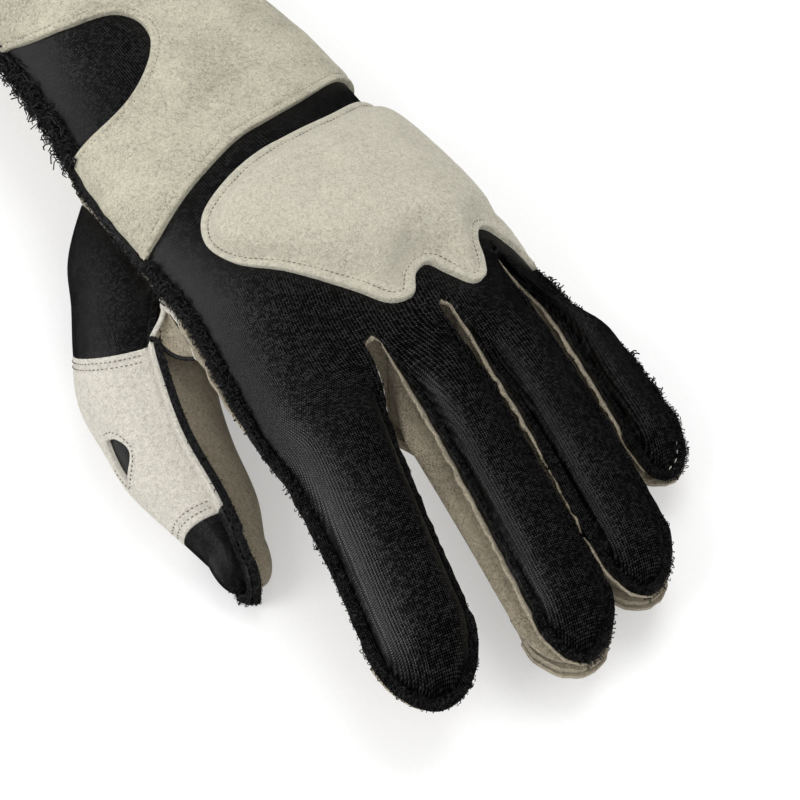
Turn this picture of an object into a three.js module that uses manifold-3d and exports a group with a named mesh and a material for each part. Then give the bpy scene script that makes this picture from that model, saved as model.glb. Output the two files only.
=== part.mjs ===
// A left-hand racing glove, lying palm down: a knitted back, suede palm, finger walls, cuff and thumb,
// and a padded knuckle patch. The seams are sewn on the outside, so each one has a standing fin.
import * as THREE from 'three';
import Module from 'manifold-3d';

const solids = await Module();
solids.setup();

// Driving sizes, in millimetres and degrees
const KNIT = 2.0;
const SUEDE = 1.5;
const GAP = 0.3;
const SLACK = 0.6;
const FIN = 2.6;
const SEAM = KNIT + GAP + SUEDE;
const CURVE = 2.25;
const MOUTH_Y = 172;
const ROLL = 13;
const LIFT = 22;
const BACK_ARC = 106;
const BLEND = 16;

// The hand and cuff, looking along the arm: a row for each section, from the knuckles to the mouth.
// The thumb and little columns are the angles of the two long seams, from the little finger's side.
const HAND = table(
  ['y', 'centre', 'half', 'level', 'over', 'under', 'thumb', 'little'],
  [
    [-40, 1.5, 45, -4, 11, 9, 180, 0],
    [-16, 1, 44, -1, 13, 11, 180, 0],
    [4, -0.5, 42, 0, 15, 13, 180, 0],
    [22, -2.4, 40.3, 0, 18, 15, 176, -5],
    [45, -5, 40.2, -3, 18, 19, 172, -10],
    [70, -6.6, 39.4, -6, 17, 18.5, 172, -5],
    [95, -7.2, 36.3, -7, 18, 17.5, 176, -5],
    [125, -12.3, 32.7, -7, 19, 17.5, 180, -5],
    [160, -14.8, 34.2, -7, 21, 17.5, 182, -5],
    [195, -16.8, 37.2, -6, 24, 19, 182, -5],
  ],
);

// Where the fingers part: across is the share of the way from the thumb's seam to the little finger's
const WEBS = [
  { across: 0.415, back: -3, palm: -12 },
  { across: 0.555, back: 0.5, palm: -9 },
  { across: 0.75, back: 13.5, palm: 3 },
];
const SLIT = 1.5;
const FIN_IN_HAND = 0.45;
const SLIT_END = 1.8;
const ROOT_ENDS = { thumb: -8, little: -4 };
const ROOTS = {
  back: rootLine('back', 0.65, -1.5, 0.8, 5),
  palm: rootLine('palm', 0.65, -7, 0.8, -2),
};

// Each finger: left and right are the ends of its fins, wall_left and wall_right the heights of its
// sides, over and under the crowns of its back and palm. The last row is where the round tip starts.
const DIGIT = ['y', 'left', 'right', 'level', 'wall_left', 'wall_right', 'over', 'under'];
const FINGERS = [
  {
    name: 'index',
    tip: { y: -83.5, across: -32, level: -14, wall: SEAM },
    rows: table(DIGIT, [
      [6, -46, -9, 0, SEAM, 13, 9, 8],
      [-20, -43.5, -15, -2, SEAM, 13, 9, 8],
      [-45, -43, -18, -6, SEAM, 13, 8.5, 7.5],
      [-67, -44, -19, -11, SEAM, 12, 7.5, 7],
    ]),
  },
  {
    name: 'middle',
    tip: { y: -87.5, across: 1.5, level: -11, wall: 6.4 },
    rows: table(DIGIT, [
      [8, -8, 12, 0, 14, 14, 6, 5],
      [-20, -7.5, 12, -1, 14, 14, 6, 5],
      [-48, -8, 12, -4, 13, 13, 5.5, 5],
      [-74, -8.5, 12.5, -8, 12, 12, 5, 4.5],
    ]),
  },
  {
    name: 'ring',
    tip: { y: -79.5, across: 22, level: -7, wall: 6.4 },
    rows: table(DIGIT, [
      [12, 14, 33.5, -1, 13, 13, 6, 5],
      [-16, 14, 33.5, -1, 13, 13, 6, 5],
      [-42, 13.5, 33, -2, 12, 12, 5.5, 5],
      [-65, 13, 33, -5, 11, 11, 5, 4.5],
    ]),
  },
  {
    name: 'little',
    tip: { y: -54.5, across: 43, level: -4, wall: SEAM },
    rows: table(DIGIT, [
      [16, 36, 49, -2, 12, SEAM, 7, 6],
      [-4, 37, 51, -2, 12, SEAM, 7, 6],
      [-22, 36.5, 52, -2, 11, SEAM, 6.5, 6],
      [-40, 36, 53, -3, 10, SEAM, 6, 5.5],
    ]),
  },
];

// The thumb stands on its side: left is its lower edge, right its upper one, level how far it lies out
const THUMB = {
  name: 'thumb',
  tip: { y: -34, across: -29, level: 50, wall: SEAM },
  rows: table(DIGIT, [
    [78, -20, -4, 34, SEAM, SEAM, 6, 6],
    [62, -26, -2, 37, SEAM, SEAM, 15, 14],
    [50, -31, 0, 40, SEAM, SEAM, 16.6, 16],
    [38, -33.5, -1, 43, SEAM, SEAM, 18.6, 17],
    [26, -34.5, -3, 50, SEAM, SEAM, 15.6, 15],
    [14, -35, -7, 52, SEAM, SEAM, 13.1, 13],
    [2, -35, -11, 52.5, SEAM, SEAM, 11.6, 11.6],
    [-12, -34.5, -16, 50.5, SEAM, SEAM, 8.6, 9],
    [-22, -34.5, -19.5, 50, SEAM, SEAM, 5.1, 5.6],
  ]),
};
const THUMB_START_Y = 78;
const THUMB_KNIT_EDGE = { middle: 35.5, slope: -11.5 };
const THUMB_CAP_Y = -15;
const THUMB_HOLLOW = { from: 72, to: 30, rows: 8 };
const THUMB_INSET = {
  y: 8,
  z: -22,
  half_length: 9,
  half_height: 7,
  margin: 3,
  waist: 0.35,
  fullness: 0.75,
};

// The knuckle pad's outline on the back, as across and y, from its wrist corner round by the thumb side
const PAD_OUTLINE = [
  [0.955, 66], [0.85, 68.5], [0.748, 68.5], [0.593, 62.5], [0.454, 57], [0.326, 49.5], [0.23, 41.5],
  [0.201, 34], [0.228, 26.5], [0.326, 18], [0.432, 8], [0.482, 2.4], [0.51, 2.6], [0.529, 7.5],
  [0.556, 9.4], [0.587, 6], [0.626, 2], [0.654, 2.7], [0.676, 7], [0.692, 13], [0.722, 16.4],
  [0.765, 16.6], [0.82, 13.5], [0.87, 11], [0.91, 8], [0.95, 8], [0.965, 35],
];
const PAD_CENTRE = { across: 0.6, y: 38 };
const PAD_BORDER = 2.6;
const PAD_RISE = 4.7;
const PAD_THINNING = { from: 0.68, to: 0.86, share: 0.75 };
const PAD_POINTS = 52;

// The pad's rings from its edge inward: each one is inset, then moved a share of the way to the centre
const PAD_RINGS = table(
  ['inset', 'share', 'rise'],
  [
    [0, 0, 0],
    [PAD_BORDER, 0, 0],
    [PAD_BORDER + 1.6, 0, 0.62],
    [PAD_BORDER + 4, 0.08, 0.86],
    [PAD_BORDER + 4, 0.4, 0.97],
    [PAD_BORDER + 4, 0.72, 1],
  ],
);

// The cuff's lower edge across the back, and the opening cut in from the thumb's seam
const CUFF_EDGE = table(
  ['across', 'y'],
  [[0, 45.5], [0.13, 45.5], [0.3, 54.5], [0.44, 63.5], [0.58, 70], [0.75, 77.5], [0.88, 79.5], [1, 80]],
);
const CUFF_SIDES = { thumb: 0.024, little: 0.976 };
const CUFF_OPENING = [
  [-70, 76], [-45, 80], [-34, 82.5], [-27, 86.5], [-19.5, 94.5], [-16.5, 101], [-17, 106.5],
  [-21, 110.5], [-33, 112.5], [-41, 115.5], [-47, 124], [-70, 150],
];

// Sampling
const ARCH = [-0.6, -0.2, 0.2, 0.6];
const HAND_STEPS = [0, 0.045, 0.1, 0.18, 0.28, 0.4, 0.54, 0.69, 0.84, 1];
const FINGER_STEPS = [0.12, 0.26, 0.42, 0.6, 0.8, 1];
const CAP_STEPS = [0.35, 0.65, 0.88, 1];
const CORNER_TURN = 7;
const CUFF_STEPS = [0, 0.12, 0.26, 0.42, 0.58, 0.74, 0.88, 1];
const CUFF_COLUMNS = 20;
const OPENING_POINTS = 24;
const WEB_TURNS = [0, 45, 90, 135, 180];
const TIP_SHARES = [0.22, 0.45, 0.72, 1];
const THUMB_ROWS = { base: 8, back: 8, tip: 2, inset: 6, palm: 15 };

// Round a fingertip, in degrees from its middle: where the side's height has closed to the tip's, and
// where a wall between two fingers stops. A side that is a plain seam has no wall near the tip.
const TIP_CLOSING = { seam: 40, wall: 90 };
const TIP_STOP = { seam: 38, wall: 2 };
const FLANGE_CLEAR = 0.4;

// The blocks that cut a window reach well past the cloth on both sides
const CUTTER = { depth: 90, below: 40 };
const INSET_CUTTER = { depth: 30, start: -85, segments: 4 };

function table(columns, rows) {
  return { columns, rows };
}

// The line where the fingers leave the hand: from the thumb's side through the webs, with one more
// point on the ring finger and on the little one
function rootLine(side, ringAcross, ringY, littleAcross, littleY) {
  const [first, second, third] = WEBS.map((web) => [web.across, web[side]]);
  const start = [0, ROOT_ENDS.thumb];
  const end = [1, ROOT_ENDS.little];
  const rows = [start, first, second, [ringAcross, ringY], third, [littleAcross, littleY], end];
  return table(['across', 'y'], rows);
}

function column(data, name) {
  const k = data.columns.indexOf(name);
  return data.rows.map((row) => row[k]);
}

const mix = (a, b, share) => a + (b - a) * share;
const mixPoint = (p, q, share) => p.map((v, k) => mix(v, q[k], share));
const radians = (angle) => (angle * Math.PI) / 180;
const smooth = (v) => THREE.MathUtils.smoothstep(v, 0, 1);
const power = (v, exponent) => Math.sign(v) * Math.abs(v) ** exponent;

// Reads a column where its first column has the value at, straight from row to row
function between(data, name, at) {
  const keys = column(data, data.columns[0]);
  const values = column(data, name);
  let k = 0;
  while (k < keys.length - 2 && at > keys[k + 1]) k += 1;
  const share = THREE.MathUtils.clamp((at - keys[k]) / (keys[k + 1] - keys[k]), 0, 1);
  return mix(values[k], values[k + 1], share);
}

// Reads a column the same way, on a smooth cubic through the rows
function along(data, name, at) {
  let keys = column(data, data.columns[0]);
  let values = column(data, name);
  if (keys[0] > keys[keys.length - 1]) {
    keys = [...keys].reverse();
    values = [...values].reverse();
  }
  const slope = (k) => {
    const low = Math.max(k - 1, 0);
    const high = Math.min(k + 1, keys.length - 1);
    return (values[high] - values[low]) / (keys[high] - keys[low]);
  };
  let k = 0;
  while (k < keys.length - 2 && at > keys[k + 1]) k += 1;
  const step = keys[k + 1] - keys[k];
  const t = (at - keys[k]) / step;
  const start = values[k] * (2 * t ** 3 - 3 * t ** 2 + 1) + slope(k) * step * (t ** 3 - 2 * t ** 2 + t);
  return start + values[k + 1] * (3 * t ** 2 - 2 * t ** 3) + slope(k + 1) * step * (t ** 3 - t ** 2);
}

// The hand's wall. side is 1 on the back and -1 on the palm; deep is the depth below the outer face.
function handWall(side, across, y, deep) {
  const from = along(HAND, 'thumb', y);
  const to = along(HAND, 'little', y) + (side > 0 ? 0 : 360);
  const angle = radians(mix(from, to, across));
  const rise = Math.sin(angle) >= 0 ? along(HAND, 'over', y) : along(HAND, 'under', y);
  return [
    along(HAND, 'centre', y) + (along(HAND, 'half', y) - deep) * power(Math.cos(angle), 2 / CURVE),
    y,
    along(HAND, 'level', y) + (rise - deep) * power(Math.sin(angle), 2 / CURVE),
  ];
}

// A point of the two long seams. edge is -1 at the thumb and 1 at the little finger; out is how far it
// stands outside the wall.
function handSeam(side, edge, y, out, deep) {
  const angle = radians(along(HAND, edge < 0 ? 'thumb' : 'little', y));
  const rise = Math.sin(angle) >= 0 ? along(HAND, 'over', y) : along(HAND, 'under', y);
  const height = rise * power(Math.sin(angle), 2 / CURVE) + side * (SEAM / 2 - deep);
  const reach = height >= 0 ? along(HAND, 'over', y) : along(HAND, 'under', y);
  const share = (Math.abs(height) / reach) ** CURVE;
  const half = along(HAND, 'half', y) * (1 - share) ** (1 / CURVE);
  return [along(HAND, 'centre', y) + edge * (half + out), y, along(HAND, 'level', y) + height];
}

// One section of a finger, and the same where its round tip starts
function section(digit, y) {
  const value = (name) => along(digit.rows, name, y);
  return {
    middle: (value('left') + value('right')) / 2,
    half: (value('right') - value('left')) / 2 - FIN,
    level: value('level'),
    wallLeft: value('wall_left'),
    wallRight: value('wall_right'),
    over: value('over'),
    under: value('under'),
  };
}

const capStart = (digit) => digit.rows.rows[digit.rows.rows.length - 1][0];
const capLength = (digit) => capStart(digit) - digit.tip.y - FIN;
const dome = (radius) => Math.max(0, 1 - radius ** CURVE) ** (1 / CURVE);

// Height of a finger's side round its tip: turn runs from 0 at the right side to 180 at the left
function wallAt(digit, shape, turn) {
  const side = turn <= 90 ? shape.wallRight : shape.wallLeft;
  const closing = side === SEAM ? TIP_CLOSING.seam : TIP_CLOSING.wall;
  return mix(digit.tip.wall, side, smooth(Math.abs(turn - 90) / closing));
}

// A point in a finger's crown; across runs from -1 to 1 between its two seams
function crownPoint(digit, side, across, y, deep) {
  const shape = section(digit, y);
  const wall = mix(shape.wallLeft, shape.wallRight, (across + 1) / 2);
  const crown = (side > 0 ? shape.over : shape.under) * dome(Math.abs(across));
  return [shape.middle + (shape.half - deep) * across, y, shape.level + side * (wall / 2 - deep + crown)];
}

// A point beside a finger's straight seam, out from its wall
function sidePoint(digit, side, edge, y, out, deep) {
  const shape = section(digit, y);
  const wall = edge < 0 ? shape.wallLeft : shape.wallRight;
  return [shape.middle + edge * (shape.half + out), y, shape.level + side * (wall / 2 - deep)];
}

// A point beside the seam round the tip
function tipPoint(digit, side, turn, out, deep) {
  const shape = section(digit, capStart(digit));
  const length = capLength(digit);
  const cos = Math.cos(radians(turn));
  const sin = Math.sin(radians(turn));
  const slant = Math.hypot(cos * length, sin * shape.half);
  const x = shape.half * cos + (out * cos * length) / slant;
  const y = length * sin + (out * sin * shape.half) / slant;
  const level = mix(shape.level, digit.tip.level, sin);
  const middle = mix(shape.middle, digit.tip.across, sin);
  return [middle + x, capStart(digit) - y, level + side * (wallAt(digit, shape, turn) / 2 - deep)];
}

// A point in the round tip's crown, where across and forward fill a square laid over the half disc
function capPoint(digit, side, across, forward, deep) {
  const shape = section(digit, capStart(digit));
  const x = across * Math.sqrt(1 - forward ** 2 / 2);
  const y = forward * Math.sqrt(1 - across ** 2 / 2);
  const radius = Math.hypot(x, y);
  const turn = (Math.atan2(y, x) * 180) / Math.PI;
  const mean = (shape.wallLeft + shape.wallRight) / 2;
  const wall = mix(mean, wallAt(digit, shape, turn), radius);
  const crown = (side > 0 ? shape.over : shape.under) * dome(radius);
  return [
    mix(shape.middle, digit.tip.across, y) + (shape.half - deep) * x,
    capStart(digit) - (capLength(digit) - deep) * y,
    mix(shape.level, digit.tip.level, y) + side * (wall / 2 - deep + crown),
  ];
}

// The y of the row where a finger leaves the hand
function rootAt(side, across) {
  return between(side > 0 ? ROOTS.back : ROOTS.palm, 'y', across);
}

const slitEdge = (finger, edge) => {
  if (finger + (edge + 1) / 2 === 0) return 0;
  if (finger + (edge + 1) / 2 === FINGERS.length) return 1;
  return WEBS[finger + (edge - 1) / 2].across - (edge * SLIT) / BACK_ARC;
};
const isLongSeam = (finger, edge) => slitEdge(finger, edge) === 0 || slitEdge(finger, edge) === 1;

// Any point beside a finger's seam, from the hand's own wall to the free finger
function seamPoint(side, finger, edge, y, out, deep) {
  const across = slitEdge(finger, edge);
  const root = rootAt(side, across) - SLIT_END;
  const inHand = isLongSeam(finger, edge)
    ? handSeam(side, edge, y, out, deep)
    : handWall(side, across - (edge * FIN_IN_HAND * (FIN - out)) / BACK_ARC, y, deep);
  const free = smooth((root - y) / BLEND);
  return mixPoint(inHand, sidePoint(FINGERS[finger], side, edge, y, out, deep), free);
}

const creaseAcross = (finger, edge) => {
  const inset = isLongSeam(finger, edge) ? SEAM / 2 : FIN * FIN_IN_HAND;
  return slitEdge(finger, edge) - (edge * inset) / BACK_ARC;
};

// Any point of a finger's crown, in the hand or free of it
function panelPoint(side, finger, arch, y, deep) {
  const across = mix(creaseAcross(finger, -1), creaseAcross(finger, 1), (arch + 1) / 2);
  const root = rootAt(side, across) - SLIT_END;
  const free = smooth((root - y) / BLEND);
  const inFinger = crownPoint(FINGERS[finger], side, Math.sin((arch * Math.PI) / 2), y, deep);
  return mixPoint(handWall(side, across, y, deep), inFinger, free);
}

// The columns of a panel, from the thumb's side to the little finger's. Each one knows its place across,
// and its point in the hand and straight finger for a y and a depth.
function digitColumns(finger) {
  const fin = (edge) => ({
    across: slitEdge(finger, edge),
    point: (side, y, deep) => seamPoint(side, finger, edge, y, FIN + Math.max(0, -deep), deep),
  });
  const crease = (edge) => ({
    across: creaseAcross(finger, edge),
    point: (side, y, deep) => seamPoint(side, finger, edge, y, -deep, deep),
  });
  const arches = ARCH.map((arch) => ({
    across: mix(creaseAcross(finger, -1), creaseAcross(finger, 1), (arch + 1) / 2),
    point: (side, y, deep) => panelPoint(side, finger, arch, y, deep),
  }));
  return [fin(-1), crease(-1), ...arches, crease(1), fin(1)];
}

function handColumns() {
  const columns = [];
  FINGERS.forEach((_, finger) => {
    columns.push(...digitColumns(finger).map((c) => ({ ...c, finger, dip: SLIT_END })));
    if (finger < WEBS.length) {
      const across = WEBS[finger].across;
      columns.push({ across, dip: 0, point: (side, y, deep) => handWall(side, across, y, deep) });
    }
  });
  return columns;
}

// The y of a column at a step from the fingers' roots to the mouth
function handRowY(side, col, step) {
  const smoothRoot = rootAt(side, col.across) - SLIT_END;
  const bump = (SLIT_END - col.dip) * Math.max(0, 1 - step / HAND_STEPS[2]);
  return mix(smoothRoot, MOUTH_Y, step) + bump;
}

// The standing frame: the hand is rolled, lifted, and flattened where it lies on the ground. lowest is
// the height that the point keeps above the ground.
const rollMatrix = new THREE.Matrix4().makeRotationY(radians(ROLL));
function stand(point, lowest) {
  const p = new THREE.Vector3(...point).applyMatrix4(rollMatrix);
  const z = p.z + LIFT;
  return [p.x, p.y, lowest === null ? z : Math.max(z, lowest)];
}

// A wall: pairs of outer and inner points, and faces over the outer ones. Its geometry has the inner
// faces and the rims too, so it is closed.
class Wall {
  constructor() {
    this.outer = [];
    this.inner = [];
    this.faces = [];
  }

  // Adds a pair, each point no lower than its own height above the ground
  addPair(outer, inner, outerLow, innerLow) {
    this.outer.push(stand(outer, outerLow));
    this.inner.push(stand(inner, innerLow));
    return this.outer.length - 1;
  }

  add(pointAt, outerDeep, innerDeep) {
    return this.addPair(pointAt(outerDeep), pointAt(innerDeep), outerDeep, innerDeep);
  }

  quad(a, b, c, d) {
    this.faces.push([a, b, c], [a, c, d]);
  }

  strip(rowA, rowB) {
    for (let k = 0; k + 1 < rowA.length; k += 1) this.quad(rowA[k], rowA[k + 1], rowB[k + 1], rowB[k]);
  }

  geometry() {
    const n = this.outer.length;
    const faces = [...this.faces, ...this.faces.map(([a, b, c]) => [a + n, c + n, b + n])];
    const directed = new Set();
    for (const [a, b, c] of this.faces) {
      [[a, b], [b, c], [c, a]].forEach(([p, q]) => directed.add(`${p} ${q}`));
    }
    for (const edge of directed) {
      const [a, b] = edge.split(' ').map(Number);
      if (!directed.has(`${b} ${a}`)) faces.push([b, a, a + n], [b, a + n, b + n]);
    }
    return closedGeometry([...this.outer, ...this.inner], faces);
  }
}

// A geometry from points and triangles, turned so that its faces point out
function closedGeometry(points, faces) {
  let volume = 0;
  for (const [a, b, c] of faces) {
    const [p, q, r] = [points[a], points[b], points[c]].map((v) => new THREE.Vector3(...v));
    volume += p.dot(q.cross(r));
  }
  const turned = volume < 0 ? faces.map(([a, b, c]) => [a, c, b]) : faces;
  const geometry = new THREE.BufferGeometry();
  geometry.setAttribute('position', new THREE.Float32BufferAttribute(points.flat(), 3));
  geometry.setIndex(turned.flat());
  return geometry;
}

function toSolid(geometry) {
  return new solids.Manifold(new solids.Mesh({
    numProp: 3,
    vertProperties: new Float32Array(geometry.attributes.position.array),
    triVerts: new Uint32Array(geometry.index.array),
  }));
}

function toGeometry(solid) {
  const mesh = solid.getMesh();
  const geometry = new THREE.BufferGeometry();
  geometry.setAttribute('position', new THREE.BufferAttribute(new Float32Array(mesh.vertProperties), 3));
  geometry.setIndex(new THREE.BufferAttribute(new Uint32Array(mesh.triVerts), 1));
  return geometry;
}

// The largest body of a cut, so that no crumb is left beside it
function mainBody(solid) {
  return solid.decompose().sort((a, b) => b.volume() - a.volume())[0];
}

function cut(geometry, tool) {
  return toGeometry(mainBody(toSolid(geometry).subtract(tool)));
}

// The round end of a digit's panel: rows over the square of the half disc, then the fin's row
function addCap(wall, digit, side, thick, place, lastRow) {
  const across = [-1, ...ARCH.map((arch) => Math.sin((arch * Math.PI) / 2)), 1];
  const rim = (turn) => (deep) => place(tipPoint(digit, side, turn, FIN, deep));
  const turnOf = (x, forward) => {
    const u = x * Math.sqrt(1 - forward ** 2 / 2);
    const v = forward * Math.sqrt(1 - x ** 2 / 2);
    return (Math.atan2(v, u) * 180) / Math.PI;
  };
  let row = lastRow;
  for (const forward of CAP_STEPS) {
    const shift = forward === 1 ? CORNER_TURN : 0;
    const next = [wall.add(rim(turnOf(-1, forward) + shift), 0, thick)];
    for (const x of across) {
      next.push(wall.add((deep) => place(capPoint(digit, side, x, forward, deep)), 0, thick));
    }
    next.push(wall.add(rim(turnOf(1, forward) - shift), 0, thick));
    wall.strip(row, next);
    row = next;
  }
  const fin = [wall.add(rim(turnOf(-1, 1)), 0, thick)];
  across.forEach((x) => {
    const shift = Math.abs(x) === 1 ? CORNER_TURN * x : 0;
    fin.push(wall.add(rim(turnOf(x, 1) + shift), 0, thick));
  });
  fin.push(wall.add(rim(turnOf(1, 1)), 0, thick));
  wall.strip(row, fin);
}

// The back or the palm: the hand and its four fingers in one piece of cloth
function handPanel(side, thick) {
  const wall = new Wall();
  const columns = handColumns();
  const same = (point) => point;
  let root = null;
  let row = null;
  for (const step of HAND_STEPS) {
    const next = columns.map((col) => {
      const y = handRowY(side, col, step);
      return wall.add((deep) => col.point(side, y, deep), 0, thick);
    });
    if (row) wall.strip(row, next);
    root = root || next;
    row = next;
  }
  FINGERS.forEach((digit, finger) => {
    const own = columns.map((col, k) => ({ ...col, root: root[k] })).filter((col) => col.finger === finger);
    let last = own.map((col) => col.root);
    for (const step of FINGER_STEPS) {
      const next = own.map((col) => {
        const y = mix(handRowY(side, col, 0), capStart(digit), step);
        return wall.add((deep) => col.point(side, y, deep), 0, thick);
      });
      wall.strip(next, last);
      last = next;
    }
    const reversed = new Wall();
    reversed.outer = wall.outer;
    reversed.inner = wall.inner;
    addCap(reversed, digit, side, thick, same, last);
    reversed.faces.forEach(([a, b, c]) => wall.faces.push([a, c, b]));
  });
  return wall.geometry();
}

// The hand's whole volume, fins and all, larger by grow
function handVolume(grow) {
  const columns = handColumns();
  const points = [];
  const faces = [];
  const steps = [...HAND_STEPS, HAND_STEPS[HAND_STEPS.length - 1] + 0.05];
  const ring = columns.length * 2;
  for (const step of steps) {
    for (const [side, order] of [[1, columns], [-1, [...columns].reverse()]]) {
      for (const col of order) {
        points.push(stand(col.point(side, handRowY(side, col, step), -grow), null));
      }
    }
  }
  for (let row = 0; row + 1 < steps.length; row += 1) {
    for (let k = 0; k < ring; k += 1) {
      const [a, b] = [row * ring + k, row * ring + ((k + 1) % ring)];
      if (k < columns.length) faces.push([a, b, b + ring], [a, b + ring, a + ring]);
      else faces.push([a, b, a + ring], [b, b + ring, a + ring]);
    }
  }
  closeRing(points, faces, 0, ring, false);
  closeRing(points, faces, (steps.length - 1) * ring, ring, true);
  return toSolid(closedGeometry(points, faces));
}

// Closes the end of a tube with a fan about the ring's middle
function closeRing(points, faces, first, count, last) {
  const middle = [0, 1, 2].map((k) => {
    let sum = 0;
    for (let n = 0; n < count; n += 1) sum += points[first + n][k];
    return sum / count;
  });
  points.push(middle);
  for (let n = 0; n < count; n += 1) {
    const [a, b] = [first + n, first + ((n + 1) % count)];
    faces.push(last ? [a, b, points.length - 1] : [b, a, points.length - 1]);
  }
}

// The suede wall between two fingers: a channel that runs from one fingertip round the web to the next
function fourchette(finger) {
  const wall = new Wall();
  const stations = [];
  const topDeep = KNIT + SLACK;
  const lowDeep = SUEDE + SLACK;
  const flange = (height) => Math.min(SUEDE, (height - topDeep - lowDeep - FLANGE_CLEAR) / 2);
  const addTip = (index, share) => {
    const digit = FINGERS[index];
    const reach = share * (90 - (digit.tip.wall === SEAM ? TIP_STOP.seam : TIP_STOP.wall));
    const turn = index === finger ? reach : 180 - reach;
    const height = wallAt(digit, section(digit, capStart(digit)), turn);
    stations.push({
      thick: flange(height),
      at: (side, out, deep) => tipPoint(digit, side, turn, out, deep),
    });
  };
  const addLeg = (index, edge, step) => {
    const digit = FINGERS[index];
    stations.push({
      thick: SUEDE,
      at: (side, out, deep) => {
        const root = rootAt(side, slitEdge(index, edge)) - SLIT_END;
        return seamPoint(side, index, edge, mix(root, capStart(digit), step), out, deep);
      },
    });
  };
  const addTurn = (turn) => {
    stations.push({
      thick: SUEDE,
      at: (side, out, deep) => {
        const radius = FIN - out;
        const web = WEBS[finger];
        const reach = SLIT + radius * FIN_IN_HAND;
        const across = web.across - (reach * Math.cos(radians(turn))) / BACK_ARC;
        const start = (side > 0 ? web.back : web.palm) - SLIT_END;
        return handWall(side, across, start + (SLIT_END + radius) * Math.sin(radians(turn)), deep);
      },
    });
  };
  [...TIP_SHARES].reverse().forEach((share) => addTip(finger, share));
  [...FINGER_STEPS].reverse().forEach((step) => addLeg(finger, 1, step));
  WEB_TURNS.forEach(addTurn);
  FINGER_STEPS.forEach((step) => addLeg(finger + 1, -1, step));
  TIP_SHARES.forEach((share) => addTip(finger + 1, share));

  const finEnd = FIN - GAP;
  let row = null;
  for (const { at, thick } of stations) {
    const corner = (side, deep, faceDeep) => [at(side, 0, deep + thick), at(side, -SUEDE, faceDeep)];
    const [topOut, topIn] = corner(1, topDeep, topDeep);
    const [lowOut, lowIn] = corner(-1, lowDeep, lowDeep);
    const pairs = [
      [at(1, finEnd, topDeep + thick), at(1, finEnd, topDeep), 0, 0],
      [topOut, topIn, 0, 0],
      [mixPoint(topOut, lowOut, 0.5), mixPoint(topIn, lowIn, 0.5), 0, 0],
      [lowOut, lowIn, lowDeep + SUEDE, lowDeep],
      [at(-1, finEnd, lowDeep + thick), at(-1, finEnd, lowDeep), lowDeep + SUEDE, lowDeep],
    ];
    const next = pairs.map((pair) => wall.addPair(...pair));
    if (row) wall.strip(row, next);
    row = next;
  }
  return wall.geometry();
}

// The padded patch over the knuckles: a flat border, then a smooth crown that thins to the outer side
function knucklePad(hand) {
  const outline = new THREE.CatmullRomCurve3(
    PAD_OUTLINE.map(([across, y]) => new THREE.Vector3(across * BACK_ARC, y, 0)),
    true,
    'centripetal',
  );
  const centre = new THREE.Vector3(PAD_CENTRE.across * BACK_ARC, PAD_CENTRE.y, 0);
  const wall = new Wall();
  const spots = outline.getSpacedPoints(PAD_POINTS).slice(0, PAD_POINTS);
  const addAt = (spot, rise) => {
    const across = spot.x / BACK_ARC;
    const thinning = THREE.MathUtils.smoothstep(across, PAD_THINNING.from, PAD_THINNING.to);
    const height = rise * PAD_RISE * (1 - PAD_THINNING.share * thinning);
    const point = (deep) => handWall(1, across, spot.y, deep);
    return wall.addPair(point(-GAP - SUEDE - height), point(KNIT / 2), GAP + SUEDE, GAP);
  };
  let row = null;
  for (const [inset, share, rise] of PAD_RINGS.rows) {
    const next = spots.map((spot) => {
      const inward = centre.clone().sub(spot);
      const reach = inward.length();
      const moved = mix(inset, reach, share);
      return addAt(spot.clone().addScaledVector(inward, moved / reach), rise);
    });
    next.push(next[0]);
    if (row) wall.strip(row, next);
    row = next;
  }
  const top = addAt(centre, 1);
  for (let k = 0; k < PAD_POINTS; k += 1) wall.faces.push([row[k], row[k + 1], top]);
  return cut(wall.geometry(), hand);
}

// The cuff: suede over the wrist's back, its lower edge a strap, with an opening at the thumb's side
function cuffPanel(hand) {
  const wall = new Wall();
  let row = null;
  for (const step of CUFF_STEPS) {
    const next = [];
    for (let k = 0; k <= CUFF_COLUMNS; k += 1) {
      const across = mix(CUFF_SIDES.thumb, CUFF_SIDES.little, k / CUFF_COLUMNS);
      const y = mix(along(CUFF_EDGE, 'y', across), MOUTH_Y, step);
      const point = (deep) => handWall(1, across, y, deep);
      next.push(wall.addPair(point(-GAP - SUEDE), point(KNIT / 2), GAP + SUEDE, GAP));
    }
    if (row) wall.strip(row, next);
    row = next;
  }
  const curve = new THREE.SplineCurve(CUFF_OPENING.map(([x, y]) => new THREE.Vector2(x, y)));
  const shape = new THREE.Shape(curve.getPoints(OPENING_POINTS));
  const block = new THREE.ExtrudeGeometry(shape, { depth: CUTTER.depth, bevelEnabled: false });
  block.translate(0, 0, -CUTTER.below);
  return cut(cut(wall.geometry(), hand), standingBlock(block));
}

// A plain block of the hand's frame, merged and moved into the standing frame
function standingBlock(geometry) {
  const keys = new Map();
  const points = [];
  const faces = [];
  const source = geometry.attributes.position;
  const indexOf = (k) => {
    const point = [source.getX(k), source.getY(k), source.getZ(k)];
    const key = point.map((v) => v.toFixed(4)).join(' ');
    if (!keys.has(key)) {
      keys.set(key, points.length);
      points.push(stand(point, null));
    }
    return keys.get(key);
  };
  const count = geometry.index ? geometry.index.count : source.count;
  const vertex = (k) => indexOf(geometry.index ? geometry.index.getX(k) : k);
  for (let k = 0; k < count; k += 3) faces.push([vertex(k), vertex(k + 1), vertex(k + 2)]);
  const solidFaces = faces.filter(([a, b, c]) => a !== b && b !== c && c !== a);
  return toSolid(closedGeometry(points, solidFaces));
}

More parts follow.
